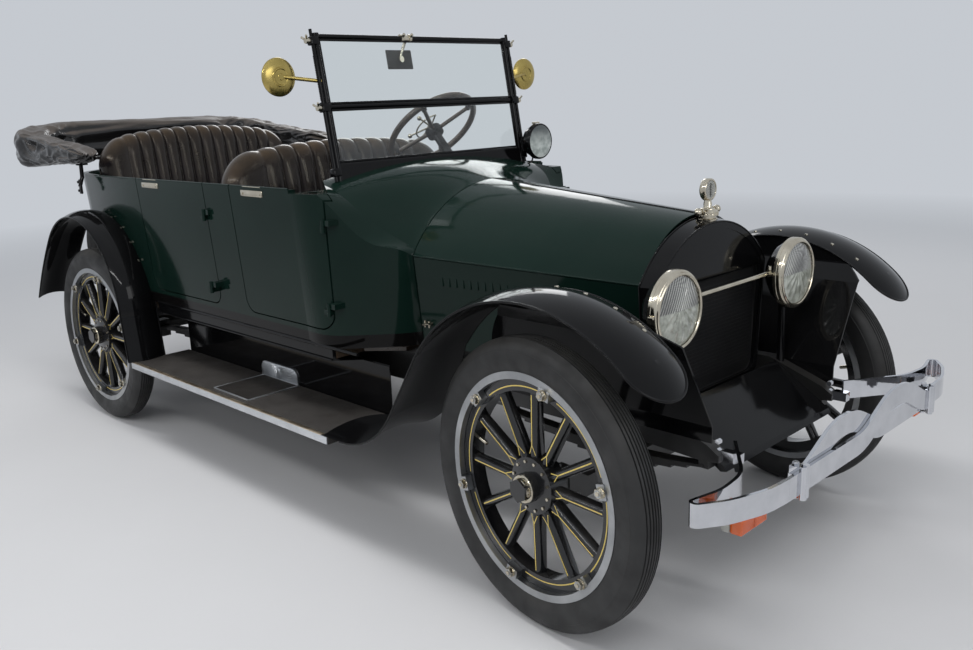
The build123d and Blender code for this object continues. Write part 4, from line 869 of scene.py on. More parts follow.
def makeHeadlamps():
    x, y, z = headlampDress["spot"]
    back = [(radius * 0.995, height - 0.0010) for radius, height in reversed(reflectorOutline)]
    for sign, side in bothSides:
        spot = (x, sign * y, z)
        rim = turnedMesh(lampRimOutline, 96, facingForward(spot))
        addRod(rim, (x - 0.006, sign * (y + 0.119), z + 0.004), (x - 0.006, sign * (y + 0.129), z + 0.004), 0.006, 12)
        addRod(rim, (x - 0.012, sign * (y + 0.127), z + 0.004), (x + 0.004, sign * (y + 0.127), z + 0.004), 0.004, 10)
        finishMesh(f"headlamp_rim_{side}", rim, nickelPlate, 30)
        bowl = turnedMesh(reflectorOutline + back, 64, facingForward(spot))
        finishMesh(f"headlamp_reflector_{side}", bowl, silverMirror, 60)
        bulb = bmesh.new()
        addBall(bulb, (x + headlampDress["bulb"], sign * y, z), 0.014)
        addRod(bulb, (x - 0.080, sign * y, z), (x - 0.050, sign * y, z), 0.009, 20)
        finishMesh(f"headlamp_bulb_{side}", bulb, bulbGlass, 50)
        makeLens(f"headlamp_lens_{side}", spot)
    bar = bmesh.new()
    x, half = x - headlampDress["barBack"], headlampDress["barHalf"]
    addRod(bar, (x, -half, z + 0.012), (x, half, z + 0.012), 0.0078, 24)
    for sign in (1, -1):
        addRod(bar, (x, sign * (half - 0.026), z + 0.012), (x, sign * half, z + 0.012), 0.013, 24)
        addRod(bar, (x, sign * (half - 0.016), z + 0.004), (x, sign * (half - 0.016), z + 0.036), 0.007, 6)
    finishMesh("headlamp_tie_bar", bar, nickelPlate, 30)


makeHeadlamps()
print("headlamps dressed")


# Spot lamp and mirrors

spotDress = {"spot": (0.5305, 0.540, 1.318), "lens": 0.0692, "rim": [
    (0.0752, -0.006), (0.0768, -0.004), (0.0770, 0.010), (0.0755, 0.0155), (0.0725, 0.0185), (0.0700, 0.0178),
    (0.0692, 0.0150), (0.0692, 0.0165), (0.0705, 0.0165), (0.0740, 0.0120)]}
spotWire = {"diameter": 0.007, "length": 0.092, "route": [
    (0.4985, 0.540, 1.2554), (0.4985, 0.540, 1.2354), (0.4955, 0.520, 1.2234), (0.4905, 0.494, 1.2254),
    (0.4865, 0.478, 1.1994)]}
mirrorDress = {"spot": (0.3645, 0.643, 1.608), "glass": 0.0635, "rings": [
    (0.000, 0.0172), (0.010, 0.0172), (0.012, 0.0152), (0.026, 0.0148), (0.029, 0.0175), (0.033, 0.0172),
    (0.035, 0.0130), (0.050, 0.0110), (0.056, 0.0085), (0.062, 0.0062), (0.0665, 0.0030), (0.0680, -0.0010),
    (0.0675, -0.0055), (0.0640, -0.0065)]}


def makeSpotLamp():
    x, y, z = spot = spotDress["spot"]
    radius, place = spotDress["lens"], facingForward(spot)
    finishMesh("spot_lamp_rim", turnedMesh(spotDress["rim"], 64, place), blackPaint, 30)
    outline = domeOutline(radius, 0.0168, 0.007, 12, [(radius, 0.0162), (0.0, 0.0162)])
    finishMesh("spot_lamp_glass", turnedMesh(outline, 48, place, closed=False), spotGlass, 60)
    knob = bmesh.new()
    addRod(knob, (x - 0.060, y, z), (x - 0.078, y, z), 0.010, 20)
    addRod(knob, (x - 0.010, y - 0.020, z + 0.078), (x - 0.010, y + 0.020, z + 0.078), 0.005)
    finishMesh("spot_lamp_knob", knob, nickelPlate, 30)


def roundLine(name, points, radius, kind, resolution):
    # a curve with a round section along some points
    data = bpy.data.curves.new(name, "CURVE")
    data.dimensions = "3D"
    data.bevel_depth = radius
    data.bevel_resolution = resolution
    line = data.splines.new(kind)
    line.points.add(len(points) - 1)
    for point, spot in zip(line.points, points):
        point.co = (*spot, 1.0)
    return data, line


def makeSpotWire():
    route, diameter = spotWire["route"], spotWire["diameter"]
    data, line = roundLine("spot_lamp_cable", route, diameter / 2, "NURBS", 4)
    data.resolution_u = 12
    line.order_u = 3
    line.use_endpoint_u = True
    data.materials.append(matRubber)
    obj = newObject("spot_lamp_cable", data)
    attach(obj, "root")
    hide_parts("spot_lamp_wire")


def addWire(name, points, radius, material, body="root"):
    # a thin round bead, kept as a mesh
    data, _ = roundLine(name, points, radius, "POLY", 3)
    data.use_fill_caps = True
    curve = newObject(name + "_line", data)
    mesh = bpy.data.meshes.new_from_object(curve.evaluated_get(bpy.context.evaluated_depsgraph_get()))
    bpy.data.objects.remove(curve)
    bpy.data.curves.remove(data)
    mesh.name = name
    mesh.materials.clear()
    mesh.materials.append(material)
    mesh.shade_smooth()
    mesh.set_sharp_from_angle(angle=radians(50))
    ridePiece(newObject(name, mesh), material, body)


def makeMirrors():
    x, y, z = mirrorDress["spot"]
    rings, radius = mirrorDress["rings"], mirrorDress["glass"]
    back = [(radius - 0.0008, height - 0.0010) for radius, height in reversed(rings[1:])]
    plate = [(0.0, 0.0), (radius, 0.0), (radius, 0.0016), (0.0, 0.0016)]
    for sign, side in bothSides:
        shell = turnedMesh(rings + back, 64, facingForward((x, sign * y, z)), closed=False)
        finishMesh(f"mirror_back_{side}", shell, brassPolish, 30)
        glass = turnedMesh(plate, 64, facingBack((x - 0.0062, sign * y, z)), closed=False)
        finishMesh(f"mirror_glass_{side}", glass, silverMirror, 30)


makeSpotLamp()
makeSpotWire()
makeMirrors()
print("spot lamp and mirrors made")


# Radiator

radiatorDress = {"face": 1.7386, "half": 0.2540, "low": 0.578, "high": 0.9270, "corner": 0.03, "finPitch": 0.0046,
                 "rowPitch": 0.0125, "beadFront": 1.7500, "beadRear": 1.6935, "rivets": 6, "rivetPitch": 0.055}
shellShape = {"top": 1.117, "shoulder": 0.945, "low": 0.549, "halfTop": 0.325, "halfLow": 0.296, "steps": 28}


def makeRadiatorFins():
    dress = radiatorDress
    face, half, low, high = (dress[key] for key in ("face", "half", "low", "high"))
    bm = bmesh.new()
    for number in range(int(2 * half / dress["finPitch"]) + 1):
        y = -half + dress["finPitch"] * number
        corner = max(0.0, abs(y) - half + dress["corner"])
        addBlock(bm, (face, y - 0.0005, low + corner), (face + 0.0060, y + 0.0005, high))
    for number in range(int((high - low - 0.04) / dress["rowPitch"])):
        z = low + 0.035 + dress["rowPitch"] * number
        addBlock(bm, (face, -half, z), (face + 0.0045, half, z + 0.0022))
    finishMesh("radiator_fins", bm, finBlack, 0)


def shellOutline(inset, rise):
    # the radiator's front edge, up one side, over the crown and down the other
    shape = shellShape
    top, shoulder, low = shape["top"] - inset, shape["shoulder"], shape["low"] + rise + 0.06
    halfTop, halfLow = shape["halfTop"] - inset, shape["halfLow"] - inset
    radius = (halfTop ** 2 + (top - shoulder) ** 2) / (2 * (top - shoulder))
    spread = asin(halfTop / radius)
    turns = [spread * (2 * step / shape["steps"] - 1) for step in range(1, shape["steps"])]
    crown = [(radius * sin(turn), top - radius + radius * cos(turn)) for turn in turns]
    return [(-halfLow, low), (-halfTop, shoulder)] + crown + [(halfTop, shoulder), (halfLow, low)]


def makeRadiatorTrim():
    dress = radiatorDress
    for end, x, inset, rise, radius in (("front", dress["beadFront"], 0.0115, 0.004, 0.0030),
                                        ("rear", dress["beadRear"], -0.0008, 0.0, 0.0026)):
        points = [(x, y, z) for y, z in shellOutline(inset, rise)]
        addWire(f"radiator_{end}_bead", points, radius, blackPaint)
    rivets = bmesh.new()
    for sign in (1, -1):
        for number in range(dress["rivets"]):
            z = 0.62 + dress["rivetPitch"] * number
            y = sign * (0.2855 + (z - 0.545) * 0.0725 - 0.014)
            addBolt(rivets, turnedTo((dress["beadFront"], y, z), (1, 0, 0)), 0.0045, 0.0018, 12)
    finishMesh("radiator_rivets", rivets, blackPaint, 30)


capDress = {"spot": (1.7205, 0.0, 1.113), "dial": 0.092, "knurls": 20, "body": [
    (0.0262, -0.002), (0.0310, -0.002), (0.0318, 0.001), (0.0300, 0.003), (0.0268, 0.0035), (0.0272, 0.0110),
    (0.0318, 0.0120), (0.0325, 0.0150), (0.0310, 0.0180), (0.0325, 0.0210), (0.0318, 0.0250), (0.0262, 0.0292),
    (0.0232, 0.0312), (0.0228, 0.0330), (0.0200, 0.0345), (0.0150, 0.0350), (0.0130, 0.0380), (0.0132, 0.0500),
    (0.0118, 0.0540), (0.0118, 0.0600), (0.0, 0.0600)], "bezel": [
    (0.0335, -0.0100), (0.0345, -0.0085), (0.0348, 0.0), (0.0345, 0.0085), (0.0335, 0.0104), (0.0310, 0.0118),
    (0.0285, 0.0108), (0.0278, 0.0092), (0.0278, -0.0092), (0.0285, -0.0108), (0.0310, -0.0118)]}


def makeCap():
    # a knurled cap with a ball on each wing, and a round dial that stands on it
    x, y, z = capDress["spot"]
    dial = z + capDress["dial"]
    bm = turnedMesh(capDress["body"], 48, atSpot(x, y, z), closed=False)
    for sign in (1, -1):
        addBall(bm, (x, sign * 0.054, z + 0.027), 0.0122)
        addRod(bm, (x, sign * 0.036, z + 0.026), (x, sign * 0.041, z + 0.026), 0.0105, 20)
    bezel = turnedMesh(capDress["bezel"], 64, facingForward((x, y, dial)))
    finishMesh("dial_bezel", bezel, nickelPlate, 40)
    for number in range(capDress["knurls"]):
        around = spun(2 * pi * number / capDress["knurls"], "Z")
        addBolt(bm, atSpot(x, y, z + 0.0115) @ around @ atSpot(0.0315, 0, 0), 0.0028, 0.0125, 8)
    finishMesh("cap_rings", bm, nickelPlate, 40)
    face, marks = bmesh.new(), bmesh.new()
    for sign in (1, -1):
        addRod(face, (x + sign * 0.0086, y, dial), (x + sign * 0.0098, y, dial), 0.0282, 48)
        near, far = x + sign * 0.0099, x + sign * 0.0103
        addBlock(marks, (near, -0.0022, dial - 0.022), (far, 0.0022, dial + 0.020))
        for number in range(7):
            up = dial - 0.015 + 0.005 * number
            for across in (1, -1):
                addBlock(marks, (near, across * 0.0045, up), (far, across * 0.0105, up + 0.0009))
    finishMesh("dial_face", face, dialCream, 40)
    finishMesh("dial_marks", marks, blackPaint, 0)


makeRadiatorFins()
makeRadiatorTrim()
makeCap()
print("radiator dressed")


# Bumper and turn lamps

bumperDress = {"front": 2.2875, "clampY": 0.428, "z": 0.524, "bracket": (1.985, 0.350)}
turnLampDress = {"y": 0.565, "z": 0.446, "right": 2.1935, "left": 2.1825, "ribs": 9}


def makeBumperClamps():
    bm = bmesh.new()
    x, z = bumperDress["front"] - 0.006, bumperDress["z"]
    bracketX, bracketY = bumperDress["bracket"]
    for sign in (1, -1):
        y = sign * bumperDress["clampY"]
        for across in (-0.0085, 0.0085):
            addRod(bm, (x, y + across, z - 0.045), (x, y + across, z + 0.045), 0.0095, 20)
        for up in (z - 0.050, z + 0.042):
            for back in (x, x - 0.024):
                addRod(bm, (back, y, up), (back, y, up + 0.008), 0.0085, 6)
        y = sign * bracketY
        for up in (z - 0.014, z + 0.014):
            addRod(bm, (bracketX, y - 0.006, up), (bracketX, y + 0.010, up), 0.0085, 6)
    finishMesh("bumper_clamp_bolts", bm, chromePlate, 30)


def makeTurnLamps():
    # an amber lens in a pale housing, hung by a stem, under each bumper end
    for sign, side in bothSides:
        x, y, z = turnLampDress[side], sign * turnLampDress["y"], turnLampDress["z"]
        lens, case, stem = bmesh.new(), bmesh.new(), bmesh.new()
        for first in (y - 0.0645, y + 0.0005):
            addBlock(lens, (x - 0.004, first, z - 0.0195), (x + 0.029, first + 0.0635, z + 0.0195), 0.004)
        for number in range(turnLampDress["ribs"]):
            up = z - 0.015 + 0.00375 * number
            addRod(lens, (x + 0.0285, y - 0.060, up), (x + 0.0285, y + 0.060, up), 0.0012, 8)
        finishMesh(f"turn_lamp_lens_{side}", lens, amberLens, 30, replaces="turn_lamps")
        addBlock(case, (x - 0.030, y - 0.065, z - 0.020), (x - 0.0045, y + 0.065, z + 0.020), 0.004)
        finishMesh(f"turn_lamp_case_{side}", case, paleCase, 30, replaces="turn_lamps")
        addRod(stem, (x - 0.020, y, z + 0.018), (x - 0.020, y, z + 0.0465), 0.005)
        addRod(stem, (x - 0.020, y, z + 0.0195), (x - 0.020, y, z + 0.024), 0.009, 6)
        finishMesh(f"turn_lamp_stem_{side}", stem, nickelPlate, 30, replaces="turn_lamps")


makeBumperClamps()
makeTurnLamps()
print("bumper dressed")


# Body trim

frameMiddle = 1287.5


def fromRear(ahead):
    # x of a place so many millimetres ahead of the rear axle
    return (ahead - frameMiddle) / 1000


def sideAt(z):
    # the half width of the body's side, which leans out by four degrees
    return 0.647 + tan(radians(4)) * (z - 0.640)


latchDress = {"front": 1464, "rear": 622, "top": 1.205, "half": 0.075}
# body, first and last x of each stretch of the rail's bead
railStretches = (("root", -1.2475, -0.8035), ("door_rear", -0.7960, -0.2020), ("root", -0.1945, 0.0095),
                 ("door_front", 0.0175, 0.4180))


def makeLatches():
    # plated striker plates let into the rail over each door's rear edge
    top, half = latchDress["top"], latchDress["half"]
    y = sideAt(top)
    for end in ("front", "rear"):
        x = fromRear(latchDress[end])
        for sign, side in bothSides:
            bm = bmesh.new()
            addBlock(bm, (x - half, sign * (y - 0.010), top - 0.025), (x + half, sign * (y + 0.0040), top - 0.0005),
                     0.003)
            addBlock(bm, (x - half + 0.013, sign * (y - 0.020), top + 0.0105),
                     (x + half - 0.013, sign * (y + 0.0020), top + 0.0135), 0.001)
            for along in (-0.060, 0.060):
                spot = (x + along, sign * (y + 0.0035), top - 0.015)
                addBolt(bm, turnedTo(spot, (0, sign, 0)), 0.0048, 0.0022, 12)
            finishMesh(f"latch_plate_{end}_{side}", bm, nickelPlate, 30, f"door_{end}_{side}")


def makeRailBeads():
    # a rounded bead along the top edge of each side, split at the doors' gaps
    for sign, side in bothSides:
        y = sign * (sideAt(1.215) - 0.0045)
        for number, (body, first, last) in enumerate(railStretches, 1):
            points = [(x, y, 1.2165) for x in (first, (first + last) / 2, last)]
            rider = body if body == "root" else f"{body}_{side}"
            addWire(f"rail_bead_{number}_{side}", points, 0.0042, greenPaint, rider)


def makeSill():
    for sign, side in bothSides:
        y = sign * (sideAt(0.643) + 0.0012)
        points = [(-0.80, y, 0.644), (0.10, y, 0.644), (0.72, sign * 0.6485, 0.644)]
        addWire(f"sill_moulding_{side}", points, 0.0065, blackPaint)
        low = [(x, sign * 0.6435, 0.594) for x in (-0.81, 0.0, 0.55)]
        addWire(f"apron_bead_{side}", low, 0.0040, blackPaint)


fenderDress = {
    "frontMiddle": (1.6485, 0.459), "frontRadius": 0.520, "rearTurn": -55.0, "noseTurn": 42.0, "outer": 0.810,
    "inner": 0.590, "boardOuter": 0.795, "bend": 0.340, "footZ": 0.376, "bead": 0.0036,
    "backMiddle": (-1.3045, 0.590), "backRadius": 0.436, "backInner": 0.632, "tailRadius": 2.0, "tailTurn": -45,
    "tailEnd": -57.5, "backFoot": -0.8405,
}
# middle, radius and y of each row of bolts, the first bolt's turn and the turn from bolt to bolt
fenderBolts = (("frontMiddle", fenderDress["frontRadius"] + 0.0125, 0.632, -34, 11),
               ("backMiddle", fenderDress["backRadius"] + 0.0165, 0.668, -20, 13))


def arcSpots(middle, radius, start, end, y, count):
    turns = [radians(start + (end - start) * step / count) for step in range(count + 1)]
    return [(middle[0] + radius * sin(turn), y, middle[1] + radius * cos(turn)) for turn in turns]


def frontFenderEdge(sign):
    # up the straight tail, over the arch, round the nose and back along the inner edge
    dress = fenderDress
    middle, radius, bend = dress["frontMiddle"], dress["frontRadius"], dress["bend"]
    rear, front, outer = dress["rearTurn"], dress["noseTurn"], dress["outer"]
    slope = radians(-rear)
    arch = arcSpots(middle, radius, rear, front, sign * outer, 36)
    startX, _, startZ = arch[0]
    rise = startZ - (dress["footZ"] + bend * (1 - cos(slope)))
    footX = startX - rise / tan(slope) - bend * sin(slope)
    footZ = startZ - rise + bend * cos(slope)
    y = sign * dress["boardOuter"]
    foot = [(footX + bend * sin(slope * step / 8), y, footZ - bend * cos(slope * step / 8)) for step in range(9)]
    half = (outer - dress["inner"]) / 2
    tip = Vector(arch[-1])
    ahead = Vector((cos(radians(front)), 0, -sin(radians(front))))
    nose = []
    for step in range(1, 24):
        angle = pi * step / 24
        nose.append(tuple(tip + ahead * half * sin(angle) - Vector((0, sign * half * (1 - cos(angle)), 0))))
    return foot + arch + nose + arcSpots(middle, radius, front, rear, sign * dress["inner"], 36)


def makeFenderBeads():
    dress = fenderDress
    middle, radius, tail, turn = dress["backMiddle"], dress["backRadius"], dress["tailRadius"], dress["tailTurn"]
    reach = tail - radius
    tailMiddle = (middle[0] - reach * sin(radians(turn)), middle[1] - reach * cos(radians(turn)))
    for sign, side in bothSides:
        addWire(f"front_fender_bead_{side}", frontFenderEdge(sign), dress["bead"], blackPaint)
        for edge, y in (("outer", sign * dress["outer"]), ("inner", sign * dress["backInner"])):
            path = arcSpots(tailMiddle, tail, dress["tailEnd"], turn, y, 8)[:-1]
            path += arcSpots(middle, radius, turn, 90, y, 36)
            path.append((dress["backFoot"], y, dress["footZ"]))
            addWire(f"rear_fender_bead_{edge}_{side}", path, dress["bead"], blackPaint)


def makeFenderBolts():
    # round heads along the fenders' crowns and the body's wheel arches
    for sign, side in bothSides:
        bm = bmesh.new()
        for middle, radius, y, first, pitch in fenderBolts:
            x, z = fenderDress[middle]
            for number in range(7):
                turn = radians(first + pitch * number)
                out = Vector((sin(turn), 0, cos(turn)))
                addBolt(bm, turnedTo(Vector((x, sign * y, z)) + out * radius, out), 0.0065, 0.0034, 12)
        finishMesh(f"fender_bolts_{side}", bm, nickelPlate, 40)


# ahead and z of each catch, and the hood side's rear and front ends with their half widths at that height
hoodCatches = {"spots": ((2112, 0.724), (2840, 0.706)), "rear": (2070, 0.4015), "front": (2974, 0.2795)}


def makeHoodCatches():
    # two spring catches low on each side of the hood
    rear, rearHalf = hoodCatches["rear"]
    front, frontHalf = hoodCatches["front"]
    for sign, side in bothSides:
        bm = bmesh.new()
        for ahead, z in hoodCatches["spots"]:
            x, y = fromRear(ahead), rearHalf - (rearHalf - frontHalf) * (ahead - rear) / (front - rear)
            for end in (x - 0.011, x + 0.011):
                addRod(bm, (end, sign * (y - 0.004), z), (end, sign * (y + 0.014), z), 0.0065)
                addRod(bm, (end, sign * (y + 0.012), z - 0.012), (end, sign * (y + 0.012), z + 0.012), 0.0040, 12)
            y = sign * (y + 0.018)
            addRod(bm, (x - 0.018, y, z - 0.004), (x + 0.018, y, z + 0.004), 0.0042, 12)
        finishMesh(f"hood_catches_{side}", bm, nickelPlate, 35, f"hood_side_{side}")


makeLatches()
makeRailBeads()
makeSill()
makeFenderBeads()
makeFenderBolts()
makeHoodCatches()
print("body trimmed")


# Running boards and step plates

boardDress = {"rear": -0.8455, "front": 0.7095, "inner": 0.505, "outer": 0.795, "top": 0.375, "low": 0.349,
              "screws": 9, "screwPitch": 0.178, "screwZ": 0.3615}
stepDress = {"rear": -0.1475, "front": 0.1225, "inner": 0.517, "outer": 0.760, "border": 0.005, "ribs": 34,
             "ribPitch": 0.0075}
scraperDress = {"rear": -0.1745, "front": 0.0985, "tall": 0.066, "shoulder": 0.034, "thick": 0.006, "rays": 31}


def makeBoardEdges():
    # a bright strip along the outer edge with its screws, a lip over it, and the rubber cover
    dress = boardDress
    inner, outer, low, top = (dress[key] for key in ("inner", "outer", "low", "top"))
    rear, front = dress["rear"] + 0.004, dress["front"]
    for sign, side in bothSides:
        strip, lip, screws, mat = (bmesh.new() for _ in range(4))
        addBlock(strip, (rear, sign * (outer - 0.0005), low - 0.001),
                 (front - 0.006, sign * (outer + 0.0032), top + 0.0005), 0.001)
        finishMesh(f"board_edge_{side}", strip, aluminium, 30)
        addBlock(lip, (rear, sign * (outer - 0.015), top), (front - 0.040, sign * (outer + 0.0034), top + 0.0030),
                 0.0012)
        finishMesh(f"board_lip_{side}", lip, warmEdge, 30)
        for number in range(dress["screws"]):
            spot = (dress["rear"] + 0.05 + dress["screwPitch"] * number, sign * (outer + 0.0030), dress["screwZ"])
            addBolt(screws, turnedTo(spot, (0, sign, 0)), 0.0040, 0.0012, 12)
        finishMesh(f"board_screws_{side}", screws, aluminium, 30)
        addBlock(mat, (rear + 0.002, sign * (inner + 0.004), top),
                 (front - 0.032, sign * (outer - 0.015), top + 0.0024), 0.001)
        finishMesh(f"board_cover_{side}", mat, matRubber, 30)


def makeStepMats():
    # a ribbed mat in a bright border, let into the board under each scraper plate
    dress, top = stepDress, boardDress["top"]
    rear, front, inner, outer, border = (dress[key] for key in ("rear", "front", "inner", "outer", "border"))
    for sign, side in bothSides:
        mat, trim = bmesh.new(), bmesh.new()
        addBlock(mat, (rear + 0.004, sign * (inner + 0.004), top),
                 (front - 0.004, sign * (outer - 0.004), top + 0.0062), 0.001)
        for number in range(dress["ribs"]):
            x = rear + 0.010 + dress["ribPitch"] * number
            addBlock(mat, (x, sign * (inner + 0.008), top + 0.006),
                     (x + 0.0035, sign * (outer - 0.008), top + 0.0078))
        finishMesh(f"step_mat_{side}", mat, matRubber, 30, replaces="step_mats")
        for x in (rear, front - border):
            addBlock(trim, (x, sign * inner, top), (x + border, sign * outer, top + 0.0085), 0.0012)
        for y in (inner, outer - border):
            addBlock(trim, (rear, sign * y, top), (front, sign * (y + border), top + 0.0085), 0.0012)
        finishMesh(f"step_trim_{side}", trim, aluminium, 30, slot="board_mat", replaces="step_mats")
        makeScraper(sign, side)


def makeScraper(sign, side):
    # a cast plate with rounded shoulders and ribs that fan out from its middle
    dress, inner, top = scraperDress, boardDress["inner"], boardDress["top"]
    tall, shoulder, thick = dress["tall"], dress["shoulder"], dress["thick"]
    half, middle = (dress["front"] - dress["rear"]) / 2, (dress["front"] + dress["rear"]) / 2
    corner = [(half - shoulder + shoulder * cos(radians(a)), tall - shoulder + shoulder * sin(radians(a)))
              for a in range(0, 91, 15)]
    outline = [(-half, 0.0), (half, 0.0)] + corner + [(-x, z) for x, z in reversed(corner)]
    bm = bmesh.new()
    face = bm.faces.new([bm.verts.new((middle + x, sign * inner, top + z)) for x, z in outline])
    made = bmesh.ops.extrude_face_region(bm, geom=[face])
    front = [item for item in made["geom"] if isinstance(item, bmesh.types.BMVert)]
    bmesh.ops.translate(bm, verts=front, vec=(0, sign * thick, 0))
    edges = [edge for edge in bm.edges if all(abs(abs(v.co.y) - inner - thick) < 1e-6 for v in edge.verts)]
    bmesh.ops.bevel(bm, geom=edges, offset=0.0016, segments=2, affect="EDGES", profile=0.5, material=-1)
    y = sign * (inner + 0.0058)
    for number in range(dress["rays"]):
        angle = pi * (number + 0.5) / dress["rays"]
        way = Vector((cos(angle), 0, sin(angle)))
        reach = min(half / max(0.001, abs(way.x)), tall / max(0.001, way.z)) - 0.009
        if abs(way.x) * reach > half - shoulder:
            reach -= 0.006
        start = Vector((middle, y, top + 0.004)) + way * 0.020
        addRod(bm, start, Vector((middle, y, top + 0.002)) + way * reach, 0.0016, 6)
    addBlock(bm, (middle - 0.013, sign * (inner + thick), top + 0.010),
             (middle + 0.013, sign * (inner + thick + 0.0028), top + 0.050), 0.002)
    bmesh.ops.recalc_face_normals(bm, faces=bm.faces)
    finishMesh(f"scraper_plate_{side}", bm, aluminium, 30, replaces="step_mats")


makeBoardEdges()
makeStepMats()
print("running boards dressed")


# Windshield fittings

shieldDress = {"foot": (0.4635, 0.0, 1.287), "lean": radians(-9.6), "half": 0.490, "middle": 0.214, "top": 0.468,
               "mirrorSpot": (-0.032, -0.085, 0.392), "mirrorSize": (0.008, 0.126, 0.074), "coils": 26,
               "coilPitch": 0.0062}
shieldPlace = Matrix.Translation(shieldDress["foot"]) @ spun(shieldDress["lean"], "Y")


def finishShield(name, bm, material):
    bm.transform(shieldPlace)
    finishMesh(name, bm, material, 35)


def makeShieldPosts():
    # outer posts with clamps at the foot, the middle and the top
    half = shieldDress["half"]
    for sign, side in bothSides:
        bm, knobs = bmesh.new(), bmesh.new()
        y = sign * (half + 0.019)
        addRod(bm, (0.006, y, -0.058), (0.006, y, 0.452), 0.0065, 20)
        for number in range(shieldDress["coils"]):
            z = 0.238 + shieldDress["coilPitch"] * number
            addRod(bm, (0.006, y, z), (0.006, y, z + 0.0036), 0.0082)
        for z in (-0.040, 0.196, 0.436):
            addBlock(bm, (-0.013, sign * (half - 0.004), z), (0.017, sign * (half + 0.030), z + 0.030), 0.004)
        addRod(bm, (0.004, y, 0.462), (0.004, y, 0.492), 0.0060)
        finishShield(f"windshield_post_{side}", bm, blackPaint)
        for z in (0.211, 0.451):
            addRod(knobs, (0.002, sign * (half + 0.028), z), (0.002, sign * (half + 0.046), z), 0.0105, 20)
            for tilt in (-0.016, 0.016):
                addRod(knobs, (0.002, sign * (half + 0.040), z), (0.002 + tilt, sign * (half + 0.050), z + abs(tilt)),
                       0.0042, 10)
        finishShield(f"windshield_knobs_{side}", knobs, nickelPlate)


def makeShieldTrim():
    # the channel round both panes, and the inner mirror in its clamp
    half, middle, top = (shieldDress[key] for key in ("half", "middle", "top"))
    near, far = 0.0092, 0.0165
    bm = bmesh.new()
    rails = ((near, far), (middle - far, middle - near), (middle + near, middle + far), (top - far, top - near))
    for low, high in rails:
        addBlock(bm, (-0.0055, -half + 0.010, low), (0.0055, half - 0.010, high), 0.001)
    for y0, y1 in ((-half + near, -half + far), (half - far, half - near)):
        addBlock(bm, (-0.0055, y0, 0.010), (0.0055, y1, top - 0.010), 0.001)
    finishShield("windshield_channel", bm, blackPaint)
    clamp, mirror, glass = bmesh.new(), bmesh.new(), bmesh.new()
    x, y, z = shieldDress["mirrorSpot"]
    hung = y + 0.020
    for across in (hung - 0.020, hung + 0.020):
        addRod(clamp, (0.0, across - 0.006, top), (0.0, across + 0.006, top), 0.0150, 20)
        addRod(clamp, (0.012, across, top + 0.004), (0.024, across, top + 0.010), 0.0060, 12)
    addRod(clamp, (0.0, hung - 0.022, top), (0.0, hung + 0.022, top), 0.0125, 20)
    addRod(clamp, (-0.004, hung, top - 0.010), (-0.016, hung - 0.006, top - 0.035), 0.0065, 12)
    addRod(clamp, (-0.016, hung - 0.006, top - 0.034), (-0.026, hung - 0.018, z + 0.010), 0.0055, 12)
    addRod(clamp, (-0.018, hung - 0.018, z), (-0.030, hung - 0.020, z), 0.0130, 20)
    finishShield("mirror_clamp", clamp, nickelPlate)
    deep, wide, tall = (size / 2 for size in shieldDress["mirrorSize"])
    addBlock(mirror, (x - deep, y - wide, z - tall), (x + deep, y + wide, z + tall), 0.0028)
    mirror.transform(shieldPlace)
    finishMesh("inner_mirror_back", mirror, matRubber, 35, slot="black_paint")
    wide, tall = wide - 0.004, tall - 0.004
    addBlock(glass, (x - deep - 0.0006, y - wide, z - tall), (x - deep + 0.001, y + wide, z + tall))
    finishShield("inner_mirror_glass", glass, silverMirror)


# Steering levers, dash gauges and the tail lamp

steerDress = {"spot": (0.0725, 0.335, 1.380), "tilt": radians(-43.7), "quadrant": 0.074, "leverReach": 0.098,
              "levers": (-128, -62), "quadrantEnds": (-168, -12), "spokeRoot": 0.188, "hub": [
                  (0.0, 0.0075), (0.020, 0.0075), (0.030, 0.0050), (0.0395, 0.0020), (0.0398, -0.0300),
                  (0.0385, -0.0330), (0.0, -0.0330)]}


def outFrom(angle, along, z):
    # a point of the steering wheel's plane, so many metres out from its middle
    return Vector((along * cos(radians(angle)), along * sin(radians(angle)), z))


def makeSteeringDress():
    dress = steerDress
    radius, reach = dress["quadrant"], dress["leverReach"]
    place = Matrix.Translation(dress["spot"]) @ spun(dress["tilt"], "Y")
    arc = [tuple(place @ outFrom(angle, radius, 0.0185)) for angle in range(-170, -9, 8)]
    addWire("spark_quadrant", arc, 0.0036, nickelPlate)
    levers = bmesh.new()
    addRod(levers, (0, 0, 0.0085), (0, 0, 0.0235), 0.0150, 24)
    for angle in dress["levers"]:
        addRod(levers, outFrom(angle, 0.010, 0.0190), outFrom(angle, reach, 0.0260), 0.0042, 12)
        addBall(levers, outFrom(angle, reach + 0.006, 0.0265), 0.0105, 20, 14)
    for angle in dress["quadrantEnds"]:
        addRod(levers, outFrom(angle, 0.012, 0.0180), outFrom(angle, radius, 0.0185), 0.0034, 12)
    levers.transform(place)
    finishMesh("spark_levers", levers, nickelPlate, 35)
    hub = bmesh.new()
    lathe(hub, dress["hub"], 40, closed=False)
    for number in range(4):
        quarter = spun(radians(45 + 90 * number), "Z")
        ends = (quarter @ Vector((dress["spokeRoot"], across, -0.001)) for across in (-0.012, 0.012))
        addRod(hub, *ends, 0.0095, 12)
    cleanUp(hub)
    hub.transform(place)
    finishMesh("steering_hub_cover", hub, blackPaint, 35, "steering_wheel", slot="black_rim")


# y and radius of each gauge
dashDress = {"face": 0.4393, "z": 1.205, "gauges": ((-0.165, 0.052), (-0.035, 0.042), (0.085, 0.042)), "marks": 11}


